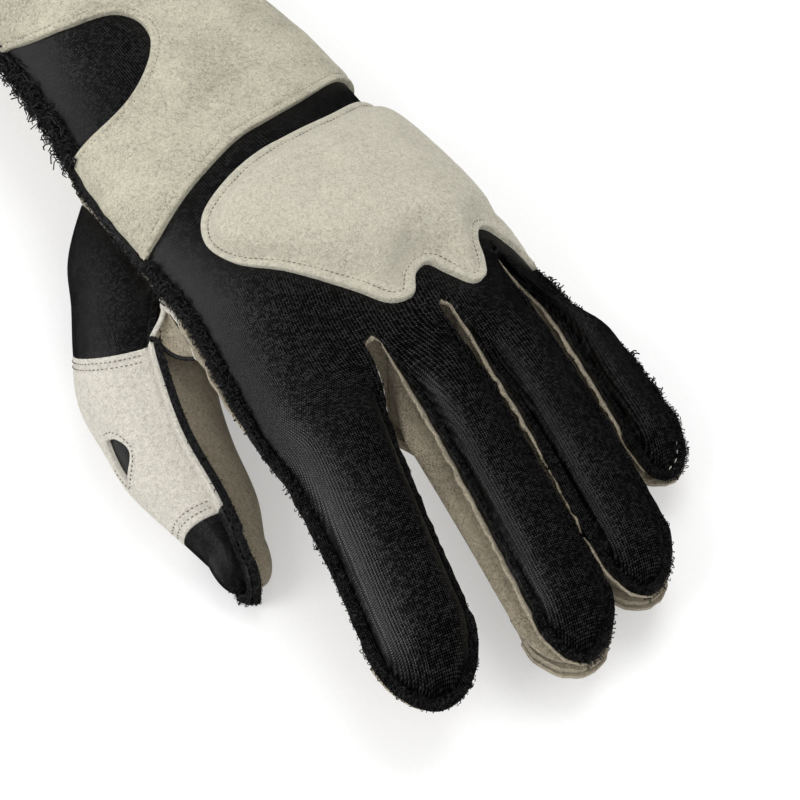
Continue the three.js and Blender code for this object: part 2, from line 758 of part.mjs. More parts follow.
// The thumb's frame: its panels stand upright, so across is height and level is how far out it lies
const placeThumb = ([across, y, level]) => [-level, y, across];
const thumbColumns = [
  { across: -1, edge: -1, fin: true },
  { across: -1, edge: -1, fin: false },
  ...ARCH.map((arch) => ({ across: Math.sin((arch * Math.PI) / 2) })),
  { across: 1, edge: 1, fin: false },
  { across: 1, edge: 1, fin: true },
];

function thumbPoint(side, col, y, deep) {
  if (!col.edge) return placeThumb(crownPoint(THUMB, side, col.across, y, deep));
  return placeThumb(sidePoint(THUMB, side, col.edge, y, col.fin ? FIN : -deep, deep));
}

// A panel of the thumb between two lines across it, closed by the round tip if it ends there
function thumbPanel(side, thick, fromY, toY, steps, withTip, shallow = 0) {
  const wall = new Wall();
  let row = null;
  for (let k = 0; k <= steps; k += 1) {
    const next = thumbColumns.map((col) => {
      const y = mix(fromY(col.across), toY(col.across), k / steps);
      return wall.add((deep) => thumbPoint(side, col, y, deep), shallow, shallow + thick);
    });
    if (row) wall.strip(row, next);
    row = next;
  }
  if (withTip) addCap(wall, THUMB, side, thick, placeThumb, row);
  return wall.geometry();
}

// The hollow inside the thumb, where it opens into the hand
function thumbHollow() {
  const points = [];
  const faces = [];
  const inside = thumbColumns.filter((col) => !col.fin);
  const ring = inside.length * 2;
  const { from, to, rows } = THUMB_HOLLOW;
  for (let k = 0; k <= rows; k += 1) {
    const y = mix(from, to, k / rows);
    for (const [side, order, deep] of [[1, inside, KNIT], [-1, [...inside].reverse(), SUEDE]]) {
      order.forEach((col) => points.push(stand(thumbPoint(side, col, y, deep), null)));
    }
  }
  for (let row = 0; row < rows; row += 1) {
    for (let k = 0; k < ring; k += 1) {
      const [a, b] = [row * ring + k, row * ring + ((k + 1) % ring)];
      faces.push([a, b, b + ring], [a, b + ring, a + ring]);
    }
  }
  closeRing(points, faces, 0, ring, false);
  closeRing(points, faces, rows * ring, ring, true);
  return toSolid(closedGeometry(points, faces));
}

const knitEdge = (across) => THUMB_KNIT_EDGE.middle + THUMB_KNIT_EDGE.slope * across;
const level = (y) => () => y;

// The window's outline in the thumb's suede, grown by margin, as a block that runs out sideways
function insetBlock(margin) {
  const length = THUMB_INSET.half_length + margin;
  const height = THUMB_INSET.half_height + margin;
  const [waist, full] = [length * THUMB_INSET.waist, height * THUMB_INSET.fullness];
  const shape = new THREE.Shape();
  shape.moveTo(length, 0);
  shape.quadraticCurveTo(waist, full, 0, height);
  shape.quadraticCurveTo(-waist, full, -length, 0);
  shape.quadraticCurveTo(-waist, -full, 0, -height);
  shape.quadraticCurveTo(waist, -full, length, 0);
  const { depth, start, segments } = INSET_CUTTER;
  const block = new THREE.ExtrudeGeometry(shape, { depth, bevelEnabled: false, curveSegments: segments });
  const [x, y, z] = [new THREE.Vector3(1, 0, 0), new THREE.Vector3(0, 1, 0), new THREE.Vector3(0, 0, 1)];
  block.applyMatrix4(new THREE.Matrix4().makeBasis(y, z, x));
  block.translate(start, THUMB_INSET.y, THUMB_INSET.z);
  return standingBlock(block);
}

const materials = {
  knit: () => new THREE.MeshStandardMaterial({ color: 0x1d1d1f, roughness: 0.9, metalness: 0 }),
  suede: () => new THREE.MeshStandardMaterial({ color: 0xd3cec0, roughness: 0.85, metalness: 0 }),
};

function piece(name, geometry, material) {
  geometry.computeVertexNormals();
  const mesh = new THREE.Mesh(geometry, materials[material]());
  mesh.name = name;
  return mesh;
}

const hand = handVolume(GAP);
const hollow = thumbHollow();
const belowKnit = (across) => knitEdge(across) - 2 * GAP;
const capFrom = level(THUMB_CAP_Y - GAP);
const tipEnd = level(capStart(THUMB));
const insetReach = THUMB_INSET.half_length + THUMB_INSET.margin + SUEDE;

const thumbBase = thumbPanel(1, KNIT, level(THUMB_START_Y), knitEdge, THUMB_ROWS.base, false);
const thumbPalm = thumbPanel(-1, SUEDE, level(THUMB_START_Y), tipEnd, THUMB_ROWS.palm, true);
const thumbBack = thumbPanel(1, SUEDE, belowKnit, level(THUMB_CAP_Y), THUMB_ROWS.back, false);
const thumbTip = thumbPanel(1, KNIT, capFrom, tipEnd, THUMB_ROWS.tip, true);
const insetSheet = thumbPanel(
  1,
  SUEDE,
  level(THUMB_INSET.y + insetReach),
  level(THUMB_INSET.y - insetReach),
  THUMB_ROWS.inset,
  false,
  SUEDE + GAP,
);
const thumbInset = toSolid(insetSheet).intersect(insetBlock(THUMB_INSET.margin));

const glove = new THREE.Group();
glove.add(
  piece('back_panel', cut(handPanel(1, KNIT), hollow), 'knit'),
  piece('palm_panel', cut(handPanel(-1, SUEDE), hollow), 'suede'),
  piece('fourchette_index_middle', fourchette(0), 'suede'),
  piece('fourchette_middle_ring', fourchette(1), 'suede'),
  piece('fourchette_ring_little', fourchette(2), 'suede'),
  piece('knuckle_pad', knucklePad(hand), 'suede'),
  piece('cuff_panel', cuffPanel(hand), 'suede'),
  piece('thumb_base_panel', cut(thumbBase, hand), 'knit'),
  piece('thumb_back_panel', cut(thumbBack, insetBlock(0)), 'suede'),
  piece('thumb_inset', toGeometry(mainBody(thumbInset)), 'knit'),
  piece('thumb_tip_cap', thumbTip, 'knit'),
  piece('thumb_palm_panel', cut(thumbPalm, hand), 'suede'),
);

// The origin is under the middle of the glove's own box, on the ground
const middle = new THREE.Box3().setFromObject(glove).getCenter(new THREE.Vector3());
glove.position.set(-middle.x, -middle.y, 0);

export default glove;
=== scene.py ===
"""A left-hand racing glove lying palm down: knitted back and suede palm with raw outside seams, a padded
knuckle patch, a suede cuff and a three-part thumb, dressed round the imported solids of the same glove."""
import math

import bpy
import numpy as np
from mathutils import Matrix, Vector
from mathutils.geometry import delaunay_2d_cdt


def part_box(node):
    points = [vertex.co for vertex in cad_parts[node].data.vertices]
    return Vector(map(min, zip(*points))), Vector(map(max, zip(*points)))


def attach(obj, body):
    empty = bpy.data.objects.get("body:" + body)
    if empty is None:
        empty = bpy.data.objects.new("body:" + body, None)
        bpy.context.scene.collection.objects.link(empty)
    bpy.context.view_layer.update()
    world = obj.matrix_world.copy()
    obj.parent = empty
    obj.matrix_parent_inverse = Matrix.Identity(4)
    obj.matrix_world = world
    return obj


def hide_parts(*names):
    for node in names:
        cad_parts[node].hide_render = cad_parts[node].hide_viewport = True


bl_info = {
    "name": "Racing Glove",
    "version": (1, 0, 0),
    "blender": (4, 5, 0),
    "location": "3D View > Sidebar > Glove",
    "description": "Builds a left-hand racing glove of knit and suede, with its stitches and frayed seams",
    "category": "Add Mesh",
}

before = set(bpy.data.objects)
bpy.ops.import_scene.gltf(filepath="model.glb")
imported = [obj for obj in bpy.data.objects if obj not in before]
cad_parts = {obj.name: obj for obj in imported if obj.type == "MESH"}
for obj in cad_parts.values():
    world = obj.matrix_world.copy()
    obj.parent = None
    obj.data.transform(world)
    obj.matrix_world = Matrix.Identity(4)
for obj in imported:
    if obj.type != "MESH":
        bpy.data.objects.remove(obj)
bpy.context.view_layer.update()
BODY = "root"
MM = 0.001

# Driving sizes of the glove, in millimetres in the hand's own frame. KNIT and SUEDE are thicknesses, GAP and
# LAYER_GAP the room between two cloths, and FIN the width of a standing seam. CURVE is the power of the
# oval sections, MOUTH_Y the y of the cuff's mouth, BACK_ARC the width of the back along the cloth, and BLEND
# the length over which a finger leaves the hand. SLIT is half the width of a slit's end and SLIT_END its
# depth. FIN_IN_HAND is the share of a fin's width that lies on the hand beside a slit.
KNIT = 2.0
SUEDE = 1.5
GAP = 0.3
FIN = 2.6
SEAM = KNIT + GAP + SUEDE
CURVE = 2.25
MOUTH_Y = 172.0
ROLL = math.radians(13)
LIFT = 22.0
BACK_ARC = 106.0
BLEND = 16.0
SLIT = 1.5
SLIT_END = 1.8
FIN_IN_HAND = 0.45
LAYER_GAP = 0.12

# Where the zero of the hand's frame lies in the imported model, in millimetres
ORIGIN = np.array((9.615, -42.405, 0.0))


def table(columns, rows):
    """A short table as a column of numbers for each name."""
    return dict(zip(columns.split(), np.array(rows, float).T))


# The hand and cuff, a row for each section from the knuckles to the mouth. The thumb and little columns
# are the angles of the two long seams.
HAND = table(
    "y centre half level over under thumb little",
    [
        (-40, 1.5, 45, -4, 11, 9, 180, 0),
        (-16, 1, 44, -1, 13, 11, 180, 0),
        (4, -0.5, 42, 0, 15, 13, 180, 0),
        (22, -2.4, 40.3, 0, 18, 15, 176, -5),
        (45, -5, 40.2, -3, 18, 19, 172, -10),
        (70, -6.6, 39.4, -6, 17, 18.5, 172, -5),
        (95, -7.2, 36.3, -7, 18, 17.5, 176, -5),
        (125, -12.3, 32.7, -7, 19, 17.5, 180, -5),
        (160, -14.8, 34.2, -7, 21, 17.5, 182, -5),
        (195, -16.8, 37.2, -6, 24, 19, 182, -5),
    ],
)

# Where the fingers part: the share across from the thumb's seam, and the y of the slit's end on the back and
# on the palm. ROOTS joins these ends with points between them.
WEBS = table("across back palm", [(0.415, -3, -12), (0.555, 0.5, -9), (0.75, 13.5, 3)])
ROOTS = {
    1: table(
        "across y", [(0, -8), (0.415, -3), (0.555, 0.5), (0.65, -1.5), (0.75, 13.5), (0.8, 5), (1, -4)]
    ),
    -1: table(
        "across y", [(0, -8), (0.415, -12), (0.555, -9), (0.65, -7), (0.75, 3), (0.8, -2), (1, -4)]
    ),
}

# Each digit: left and right are the ends of its fins, wall_left and wall_right the heights of its sides,
# over and under the crowns of its back and palm. The last row is where the round tip starts.
DIGIT_COLUMNS = "y left right level wall_left wall_right over under"


def make_digit(name, tip, rows):
    """A digit from its tip's y, place across, level and wall, and the rows of its sections."""
    tip = dict(zip(("y", "across", "level", "wall"), tip))
    return {"name": name, "tip": tip, "rows": table(DIGIT_COLUMNS, rows)}


FINGERS = [
    make_digit(
        "index", (-83.5, -32, -14, SEAM),
        [
            (6, -46, -9, 0, SEAM, 13, 9, 8),
            (-20, -43.5, -15, -2, SEAM, 13, 9, 8),
            (-45, -43, -18, -6, SEAM, 13, 8.5, 7.5),
            (-67, -44, -19, -11, SEAM, 12, 7.5, 7),
        ],
    ),
    make_digit(
        "middle", (-87.5, 1.5, -11, 6.4),
        [
            (8, -8, 12, 0, 14, 14, 6, 5),
            (-20, -7.5, 12, -1, 14, 14, 6, 5),
            (-48, -8, 12, -4, 13, 13, 5.5, 5),
            (-74, -8.5, 12.5, -8, 12, 12, 5, 4.5),
        ],
    ),
    make_digit(
        "ring", (-79.5, 22, -7, 6.4),
        [
            (12, 14, 33.5, -1, 13, 13, 6, 5),
            (-16, 14, 33.5, -1, 13, 13, 6, 5),
            (-42, 13.5, 33, -2, 12, 12, 5.5, 5),
            (-65, 13, 33, -5, 11, 11, 5, 4.5),
        ],
    ),
    make_digit(
        "little", (-54.5, 43, -4, SEAM),
        [
            (16, 36, 49, -2, 12, SEAM, 7, 6),
            (-4, 37, 51, -2, 12, SEAM, 7, 6),
            (-22, 36.5, 52, -2, 11, SEAM, 6.5, 6),
            (-40, 36, 53, -3, 10, SEAM, 6, 5.5),
        ],
    ),
]

# The thumb stands on its side: left is its lower edge, right its upper one, level how far it lies out
THUMB = make_digit(
    "thumb", (-34, -29, 50, SEAM),
    [
        (78, -20, -4, 34, SEAM, SEAM, 6, 6),
        (62, -26, -2, 37, SEAM, SEAM, 15, 14),
        (50, -31, 0, 40, SEAM, SEAM, 16.6, 16),
        (38, -33.5, -1, 43, SEAM, SEAM, 18.6, 17),
        (26, -34.5, -3, 50, SEAM, SEAM, 15.6, 15),
        (14, -35, -7, 52, SEAM, SEAM, 13.1, 13),
        (2, -35, -11, 52.5, SEAM, SEAM, 11.6, 11.6),
        (-12, -34.5, -16, 50.5, SEAM, SEAM, 8.6, 9),
        (-22, -34.5, -19.5, 50, SEAM, SEAM, 5.1, 5.6),
    ],
)

# The thumb's other sizes: where its panels start, its knit ends and its cap starts, the hollow to the hand,
# the width of its flat pattern, how far the suede laps over the knit, and the black edge between the two
# panels as distances out from the seam and down from the face
THUMB_START_Y = 78
THUMB_KNIT_EDGE = {"middle": 35.5, "slope": -11.5}
THUMB_CAP_Y = -15
THUMB_HOLLOW = {"start": 72, "end": 30, "rows": 10}
THUMB_ARC = 46.0
THUMB_FIN_THICK = 0.95
THUMB_EDGE = 0.8
THUMB_BINDING = {"start": 27, "near": 0.2, "far": 2.9, "top": 0.95, "low": 2.9}

# The small patch in the thumb's crotch: its corners, its sag and bow, and the radii of its piping and rims
GUSSET = {
    "top": (-46.3, 31.0, 0.2),
    "low": (-51.2, 25.2, -3.0),
    "front": (-45.6, 14.5, -0.8),
    "sag": (0.0, 0.0, 2.8),
    "bow": 1.1,
    "piping": 0.5,
    "rim": 0.62,
}

# The window in the thumb's back, as points in its flat pattern: its inner side and its outer side
WINDOW_INNER = [(0.9, 13.0), (5.6, 11.0), (8.6, 7.8), (9.0, 5.9), (7.2, 4.4), (3.6, 3.3), (-0.9, 2.2)]
WINDOW_OUTER = [(-0.9, 2.2), (-1.7, 5.6), (-0.9, 9.5), (0.9, 13.0)]
WINDOW_MARGIN = 2.5

# The knuckle pad's outline on the back, as across and y, from its wrist corner round by the thumb side, how
# far its crown rises, and between which shares across the back, and by what share, that gets less
PAD_OUTLINE = [
    (0.955, 66), (0.85, 68.5), (0.748, 68.5), (0.593, 62.5), (0.454, 57), (0.326, 49.5), (0.23, 41.5),
    (0.201, 34), (0.228, 26.5), (0.326, 18), (0.432, 8), (0.482, 2.4), (0.51, 2.6), (0.529, 7.5),
    (0.556, 9.4), (0.587, 6), (0.626, 2), (0.654, 2.7), (0.676, 7), (0.692, 13), (0.722, 16.4),
    (0.765, 16.6), (0.82, 13.5), (0.87, 11), (0.91, 8), (0.95, 8), (0.965, 35),
]
PAD_RISE = 4.7
PAD_THINNING = {"start": 0.68, "end": 0.86, "share": 0.75}

# The cuff's lower edge across the back, and the opening cut in from the thumb's seam as x and y
CUFF_EDGE = table(
    "across y",
    [(0, 42.5), (0.13, 45.3), (0.3, 54.5), (0.44, 63.5), (0.58, 70), (0.75, 77.5), (0.88, 79.5), (1, 80)],
)
CUFF_SIDES = {"thumb": 0.001, "little": 0.976}
CUFF_SEWN = ("strap", "opening", "strap_end", "mouth")
CUFF_OPENING = [
    (-70, 76), (-45, 80), (-34, 82.5), (-27, 86.5), (-19.5, 94.5), (-16.5, 101), (-17, 106.5),
    (-21, 110.5), (-33, 112.5), (-41, 115.5), (-47, 124), (-70, 150),
]

# How finely the cloth is drawn: rows, turns round a tip, arches across each digit, and columns at shares of
# a fin's width and at turns round a slit's end. ROOT_FADE is the share of the way to the mouth over which
# the rows straighten, and ROUND_SHARE the knit's width for each millimetre across a finger.
HAND_ROWS = 96
HAND_ROW_BIAS = 1.25
FINGER_ROWS = 44
TIP_TURNS = 26
ARCHES = {"index": 25, "middle": 13, "ring": 15, "little": 17, "thumb": 21}
FIN_SHARES = (1.0, 0.68, 0.34)
SLIT_TURNS = (30, 60, 90, 120, 150)
WALL_TIP_ROWS = 14
WALL_TURNS = 19
ROOT_FADE = 0.1
ROUND_SHARE = 1.2

# Round a fingertip, in degrees: over how far a side's height closes to the tip's, and how far short of the
# tip a wall between two fingers stops. A seam is a side only as high as SEAM, and a wall is a higher one.
TIP_CLOSING = {"seam": 40.0, "wall": 90.0}
TIP_STOP = {"seam": 38.0, "wall": 2.0}

# The standing seams, in millimetres: how far they curl, ripple and wander, how far their rims are worn
# round, and how far the palm's inner face draws back in them
FIN_CURL = 0.4
FIN_RIPPLE = 0.34
FIN_WANDER = 0.2
RIM_WORN = 0.35
SEAM_CLOSING = GAP + 0.04

# At a slit, on a digit's left edge (-1) and right edge (1): how much narrower than FIN the panels' fins are,
# how much wider the suede wall's fin is, and how far that one lifts
KNIT_TRIM = {-1: 1.1, 1: 0.2}
SUEDE_SHOWS = {-1: 0.6, 1: 0.05}
SUEDE_LIFT = {-1: 1.0, 1: 0.1}

# How much wider than FIN the palm's fin is at the two long seams, by y
PALM_SHOWS = table(
    "y shows", [(-90, -1.6), (-14, -1.6), (-6, 0.2), (2, 1.1), (22, 1.1), (28, -1.6), (172, -1.6)]
)

# Where the slit beside the ring finger closes: from which y on, how fast, and by how much
CLOSED_SLIT = {"finger": 2, "start": -30, "length": 14, "reach": 1.5}

# The suede walls: how far they bulge out beside the middle, the ring and the little finger, and by what
# share more at their roots. Elsewhere they sag in.
BELLY = (4.4, 1.6, 2.8)
ROOT_BELLY = 0.7
WALL_SAG = 0.9
WALL_TOP = KNIT + LAYER_GAP
WALL_LOW = SUEDE + LAYER_GAP

# The walls' upper fins: how much further they show and lift at the slit's end, how they wander and rumple,
# and how much thinner and more worn they are at the edge
WALL_FIN = {"end_shows": 0.6, "end_lifts": 0.9, "wander": 1.2, "rumple": 0.35, "thinner": 0.55, "worn": 0.3}

# How far the suede shows past the knit at each tip
TIP_SHOWS = {"index": -1.6, "middle": 0.9, "ring": 0.9, "little": 0.3, "thumb": 0.0}


def mix(start, end, share):
    return start + (end - start) * share


def smooth(share):
    share = np.clip(share, 0, 1)
    return share * share * (3 - 2 * share)


def power(value, exponent):
    return np.sign(value) * np.abs(value) ** exponent


def cubic(start, first, end, last, t):
    """A smooth way from start to end, with the slope first at its start and last at its end."""
    begun = start * (2 * t**3 - 3 * t**2 + 1) + first * (t**3 - 2 * t**2 + t)
    return begun + end * (3 * t**2 - 2 * t**3) + last * (t**3 - t**2)


def along(data, name, at, key="y"):
    """Reads a column of a table where its key has the value at, on a smooth cubic through the rows."""
    keys, values = data[key], data[name]
    if keys[0] > keys[-1]:
        keys, values = keys[::-1], values[::-1]
    low = np.maximum(np.arange(len(keys)) - 1, 0)
    high = np.minimum(np.arange(len(keys)) + 1, len(keys) - 1)
    slopes = (values[high] - values[low]) / (keys[high] - keys[low])
    at = np.asarray(at, float)
    k = np.clip(np.searchsorted(keys, at) - 1, 0, len(keys) - 2)
    step = keys[k + 1] - keys[k]
    return cubic(values[k], slopes[k] * step, values[k + 1], slopes[k + 1] * step, (at - keys[k]) / step)


def points_of(x, y, z):
    return np.stack(np.broadcast_arrays(x, y, z), -1).astype(float)


def waves(x, y, length, seed):
    """A smooth uneven wave over a plane, between about -1 and 1, with bumps of about the given length."""
    turn = 2 * math.pi / length
    value = 0
    for k, weight in enumerate((0.5, 0.3, 0.2)):
        angle = seed * 1.7 + k * 2.1
        stretch = 1 + 0.83 * k
        heading = x * math.cos(angle) + y * math.sin(angle)
        bend = 0.6 * np.sin(turn * 0.37 * (y * math.cos(angle) - x) + seed)
        value = value + weight * np.sin(turn * stretch * heading + bend + seed + k)
    return value


def arch_share(arch):
    """How far across its digit an arch lies, from -1 to 1: they lie closer together beside the seams."""
    return math.sin(arch * math.pi / 2)


def fin_lift(x, y, out):
    """How far a standing seam curls and ripples up at a distance out from its stitches."""
    share = np.clip(np.asarray(out, float) / FIN, 0, 1.3)
    return share**2 * (FIN_CURL + FIN_RIPPLE * waves(x, y, 8.5, 3))


def fin_end(x, y):
    """How far a trimmed edge wanders in and out."""
    return FIN_WANDER * (waves(x, y, 6.0, 5) + 0.5 * waves(x, y, 2.6, 8))


def hand_section(y):
    """One section of the hand at y."""
    return {name: along(HAND, name, y) for name in HAND if name != "y"}


def rise_at(hand, angle):
    """The height of the hand's oval on the side where an angle lies."""
    return np.where(np.sin(angle) >= 0, hand["over"], hand["under"])


def hand_wall(side, across, y, deep):
    """The hand's wall. side is 1 on the back and -1 on the palm; deep is the depth below its face."""
    hand = hand_section(y)
    angle = np.radians(mix(hand["thumb"], hand["little"] + (0 if side > 0 else 360), across))
    x = hand["centre"] + (hand["half"] - deep) * power(np.cos(angle), 2 / CURVE)
    z = hand["level"] + (rise_at(hand, angle) - deep) * power(np.sin(angle), 2 / CURVE)
    return points_of(x, y, z)


def hand_across(x, y):
    """The share across the back at which the wall has this x."""
    hand = hand_section(y)
    share = np.clip((x - hand["centre"]) / hand["half"], -1, 1)
    angle = np.degrees(np.arccos(power(share, CURVE / 2)))
    return (angle - hand["thumb"]) / (hand["little"] - hand["thumb"])


def hand_seam(side, edge, y, out, deep):
    """A point beside one of the two long seams; out is how far it stands outside the wall."""
    hand = hand_section(y)
    angle = np.radians(hand["thumb" if edge < 0 else "little"])
    height = rise_at(hand, angle) * power(np.sin(angle), 2 / CURVE) + side * (SEAM / 2 - deep)
    share = (np.abs(height) / np.where(height >= 0, hand["over"], hand["under"])) ** CURVE
    x = hand["centre"] + edge * (hand["half"] * (1 - share) ** (1 / CURVE) + out)
    return points_of(x, y, hand["level"] + height + fin_lift(x, y, out))


def section(digit, y):
    """One section of a digit at y."""
    value = {name: along(digit["rows"], name, y) for name in DIGIT_COLUMNS.split()[1:]}
    value["middle"] = (value["left"] + value["right"]) / 2
    value["half"] = (value["right"] - value["left"]) / 2 - FIN
    return value


def cap_start(digit):
    return digit["rows"]["y"][-1]


def cap_length(digit):
    return cap_start(digit) - digit["tip"]["y"] - FIN


def dome(radius):
    return np.maximum(0, 1 - radius**CURVE) ** (1 / CURVE)


def wall_round_tip(digit, shape, turn):
    """The height of a digit's side round its tip: turn runs from 0 at the right side to 180."""
    side = np.where(turn <= 90, shape["wall_right"], shape["wall_left"])
    closing = np.where(side == SEAM, TIP_CLOSING["seam"], TIP_CLOSING["wall"])
    return mix(digit["tip"]["wall"], side, smooth(np.abs(turn - 90) / closing))


def crown(digit, side, across, y, deep):
    """A point of a digit's crown; across runs from -1 to 1 between its two seams."""
    shape = section(digit, y)
    wall = mix(shape["wall_left"], shape["wall_right"], (across + 1) / 2)
    rise = shape["over" if side > 0 else "under"] * dome(np.abs(across))
    return points_of(
        shape["middle"] + (shape["half"] - deep) * across,
        y,
        shape["level"] + side * (wall / 2 - deep + rise),
    )


def beside(digit, side, edge, y, out, deep):
    """A point beside a digit's straight seam, out from its wall."""
    shape = section(digit, y)
    wall = shape["wall_left" if edge < 0 else "wall_right"]
    x = shape["middle"] + edge * (shape["half"] + out)
    return points_of(x, y, shape["level"] + side * (wall / 2 - deep) + fin_lift(x, y, out))


def round_tip(digit, side, turn, out, deep):
    """A point beside the seam round a digit's tip."""
    start = cap_start(digit)
    shape = section(digit, start)
    length = cap_length(digit)
    cos, sin = np.cos(np.radians(turn)), np.sin(np.radians(turn))
    slant = np.hypot(cos * length, sin * shape["half"])
    x = mix(shape["middle"], digit["tip"]["across"], sin) + shape["half"] * cos + out * cos * length / slant
    y = start - length * sin - out * sin * shape["half"] / slant
    level = mix(shape["level"], digit["tip"]["level"], sin)
    height = side * (wall_round_tip(digit, shape, turn) / 2 - deep)
    return points_of(x, y, level + height + fin_lift(x, y, out))


def tip_crown(digit, side, radius, turn, deep):
    """A point of the round tip's crown, by its radius from 0 to 1 and its turn."""
    start = cap_start(digit)
    shape = section(digit, start)
    x, y = radius * np.cos(np.radians(turn)), radius * np.sin(np.radians(turn))
    mean = (shape["wall_left"] + shape["wall_right"]) / 2
    wall = mix(mean, wall_round_tip(digit, shape, turn), radius)
    rise = shape["over" if side > 0 else "under"] * dome(radius)
    return points_of(
        mix(shape["middle"], digit["tip"]["across"], y) + (shape["half"] - deep) * x,
        start - (cap_length(digit) - deep) * y,
        mix(shape["level"], digit["tip"]["level"], y) + side * (wall / 2 - deep + rise),
    )


def root_at(side, across):
    """The y of the row where a finger leaves the hand."""
    return np.interp(across, ROOTS[side]["across"], ROOTS[side]["y"])


def slit_edge(finger, edge):
    """The share across the hand of one edge of a finger's cloth."""
    gap = finger + (edge + 1) // 2
    if gap in (0, len(FINGERS)):
        return float(gap > 0)
    return WEBS["across"][gap - 1] - edge * SLIT / BACK_ARC


def is_long_seam(finger, edge):
    return slit_edge(finger, edge) in (0.0, 1.0)


def seam_point(side, finger, edge, y, out, deep):
    """Any point beside a finger's seam, from the hand's own wall to the free finger."""
    across = slit_edge(finger, edge)
    root = root_at(side, across) - SLIT_END
    if is_long_seam(finger, edge):
        in_hand = hand_seam(side, edge, y, out, deep)
    else:
        in_hand = hand_wall(side, across - edge * FIN_IN_HAND * (FIN - out) / BACK_ARC, y, deep)
    free = smooth((root - y) / BLEND)[..., None]
    return mix(in_hand, beside(FINGERS[finger], side, edge, y, out, deep), free)


def crease_across(finger, edge):
    inset = SEAM / 2 if is_long_seam(finger, edge) else FIN * FIN_IN_HAND
    return slit_edge(finger, edge) - edge * inset / BACK_ARC


def crown_point(side, finger, arch, y, deep):
    """Any point of a finger's crown, in the hand or free of it; arch runs from -1 to 1."""
    across = mix(crease_across(finger, -1), crease_across(finger, 1), (arch + 1) / 2)
    root = root_at(side, across) - SLIT_END
    free = smooth((root - y) / BLEND)[..., None]
    in_finger = crown(FINGERS[finger], side, arch_share(arch), y, deep)
    return mix(hand_wall(side, across, y, deep), in_finger, free)


def stand(points, lowest=None):
    """Moves points of the hand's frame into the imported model's, in metres: rolled, lifted, and kept at
    least lowest above the ground."""
    x, y, z = np.moveaxis(np.asarray(points, float), -1, 0)
    height = z * math.cos(ROLL) - x * math.sin(ROLL) + LIFT
    if lowest is not None:
        height = np.maximum(height, lowest)
    return (np.stack((x * math.cos(ROLL) + z * math.sin(ROLL), y, height), -1) + ORIGIN) * MM


class Cloth:
    """A wall of cloth, closed: pairs of outer and inner points, with faces over the outer ones."""

    def __init__(self):
        self.outer = []
        self.inner = []
        self.weave = []
        self.faces = []
        self.total = 0

    def add(self, outer, inner, weave):
        """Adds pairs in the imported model's frame, and returns their numbers in the same layout."""
        shape = outer.shape[:-1]
        for store, values in ((self.outer, outer), (self.inner, inner), (self.weave, weave)):
            store.append(values.reshape(-1, values.shape[-1]))
        count = int(np.prod(shape))
        self.total += count
        return np.arange(self.total - count, self.total).reshape(shape)

    def grid(self, rows):
        """Faces between rows of pairs."""
        rows = [np.asarray(row) for row in rows]
        for low, high in zip(rows, rows[1:]):
            self.faces += np.stack((low[:-1], low[1:], high[1:], high[:-1]), -1).tolist()

    def fan(self, pole, ring):
        self.faces += [(int(pole), int(b), int(a)) for a, b in zip(ring, ring[1:])]

    def make(self, name, material):
        """The closed mesh, its faces pointing out."""
        faces = [list(face) for face in self.faces]
        edges = {(a, b) for face in faces for a, b in zip(face, face[1:] + face[:1])}
        rims = [(b, a, a + self.total, b + self.total) for a, b in edges if (b, a) not in edges]
        lining = [[k + self.total for k in reversed(face)] for face in faces]
        points = np.concatenate(self.outer + self.inner)
        weave = np.concatenate(self.weave + self.weave)
        return solid_piece(name, points, faces + lining + sorted(rims), material, weave)


def new_mesh(name, points, edges, faces):
    mesh = bpy.data.meshes.new(name)
    mesh.from_pydata(np.asarray(points, float).tolist(), edges, faces)
    return mesh


def points_in(mesh):
    points = np.empty(len(mesh.vertices) * 3)
    mesh.vertices.foreach_get("co", points)
    return points.reshape(-1, 3)


def add_object(name, data):
    """A new object in the scene's own collection."""
    made = bpy.data.objects.new(name, data)
    bpy.context.scene.collection.objects.link(made)
    return made


def solid_piece(name, points, faces, material, weave=None):
    """A closed mesh object with its faces turned out, smooth but for its sharp rims."""
    corners = [(face[0], face[k], face[k + 1]) for face in faces for k in range(1, len(face) - 1)]
    a, b, c = points[np.array(corners)].transpose(1, 0, 2)
    if np.einsum("ij,ij->", a, np.cross(b, c)) < 0:
        faces = [tuple(reversed(face)) for face in faces]
    mesh = new_mesh(name, points, [], faces)
    if weave is not None:
        corner_points = np.empty(len(mesh.loops), int)
        mesh.loops.foreach_get("vertex_index", corner_points)
        mesh.uv_layers.new(name="weave").data.foreach_set("uv", weave[corner_points].ravel())
    mesh.materials.append(material)
    piece = add_object(name, mesh)
    smooth_faces(piece)
    return piece


def smooth_faces(piece):
    piece.data.shade_smooth()
    piece.data.set_sharp_from_angle(angle=math.radians(52))


def dress(piece, slot, *nodes):
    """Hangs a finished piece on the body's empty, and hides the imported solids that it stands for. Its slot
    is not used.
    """
    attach(piece, BODY)
    if nodes:
        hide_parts(*nodes)


def cut_away(piece, cutter):
    """Cuts a closed shape out of a piece, and removes the cutter."""
    modifier = piece.modifiers.new("cut", "BOOLEAN")
    modifier.operation = "DIFFERENCE"
    modifier.solver = "EXACT"
    modifier.object = cutter
    plain_mesh(piece)
    bpy.data.objects.remove(cutter)
    smooth_faces(piece)


def plain_mesh(piece):
    """Makes what a piece's modifiers give its own mesh, and removes them."""
    graph = bpy.context.evaluated_depsgraph_get()
    mesh = bpy.data.meshes.new_from_object(piece.evaluated_get(graph), depsgraph=graph)
    piece.modifiers.clear()
    piece.data = mesh


# Columns of cloth across a digit and across the hand


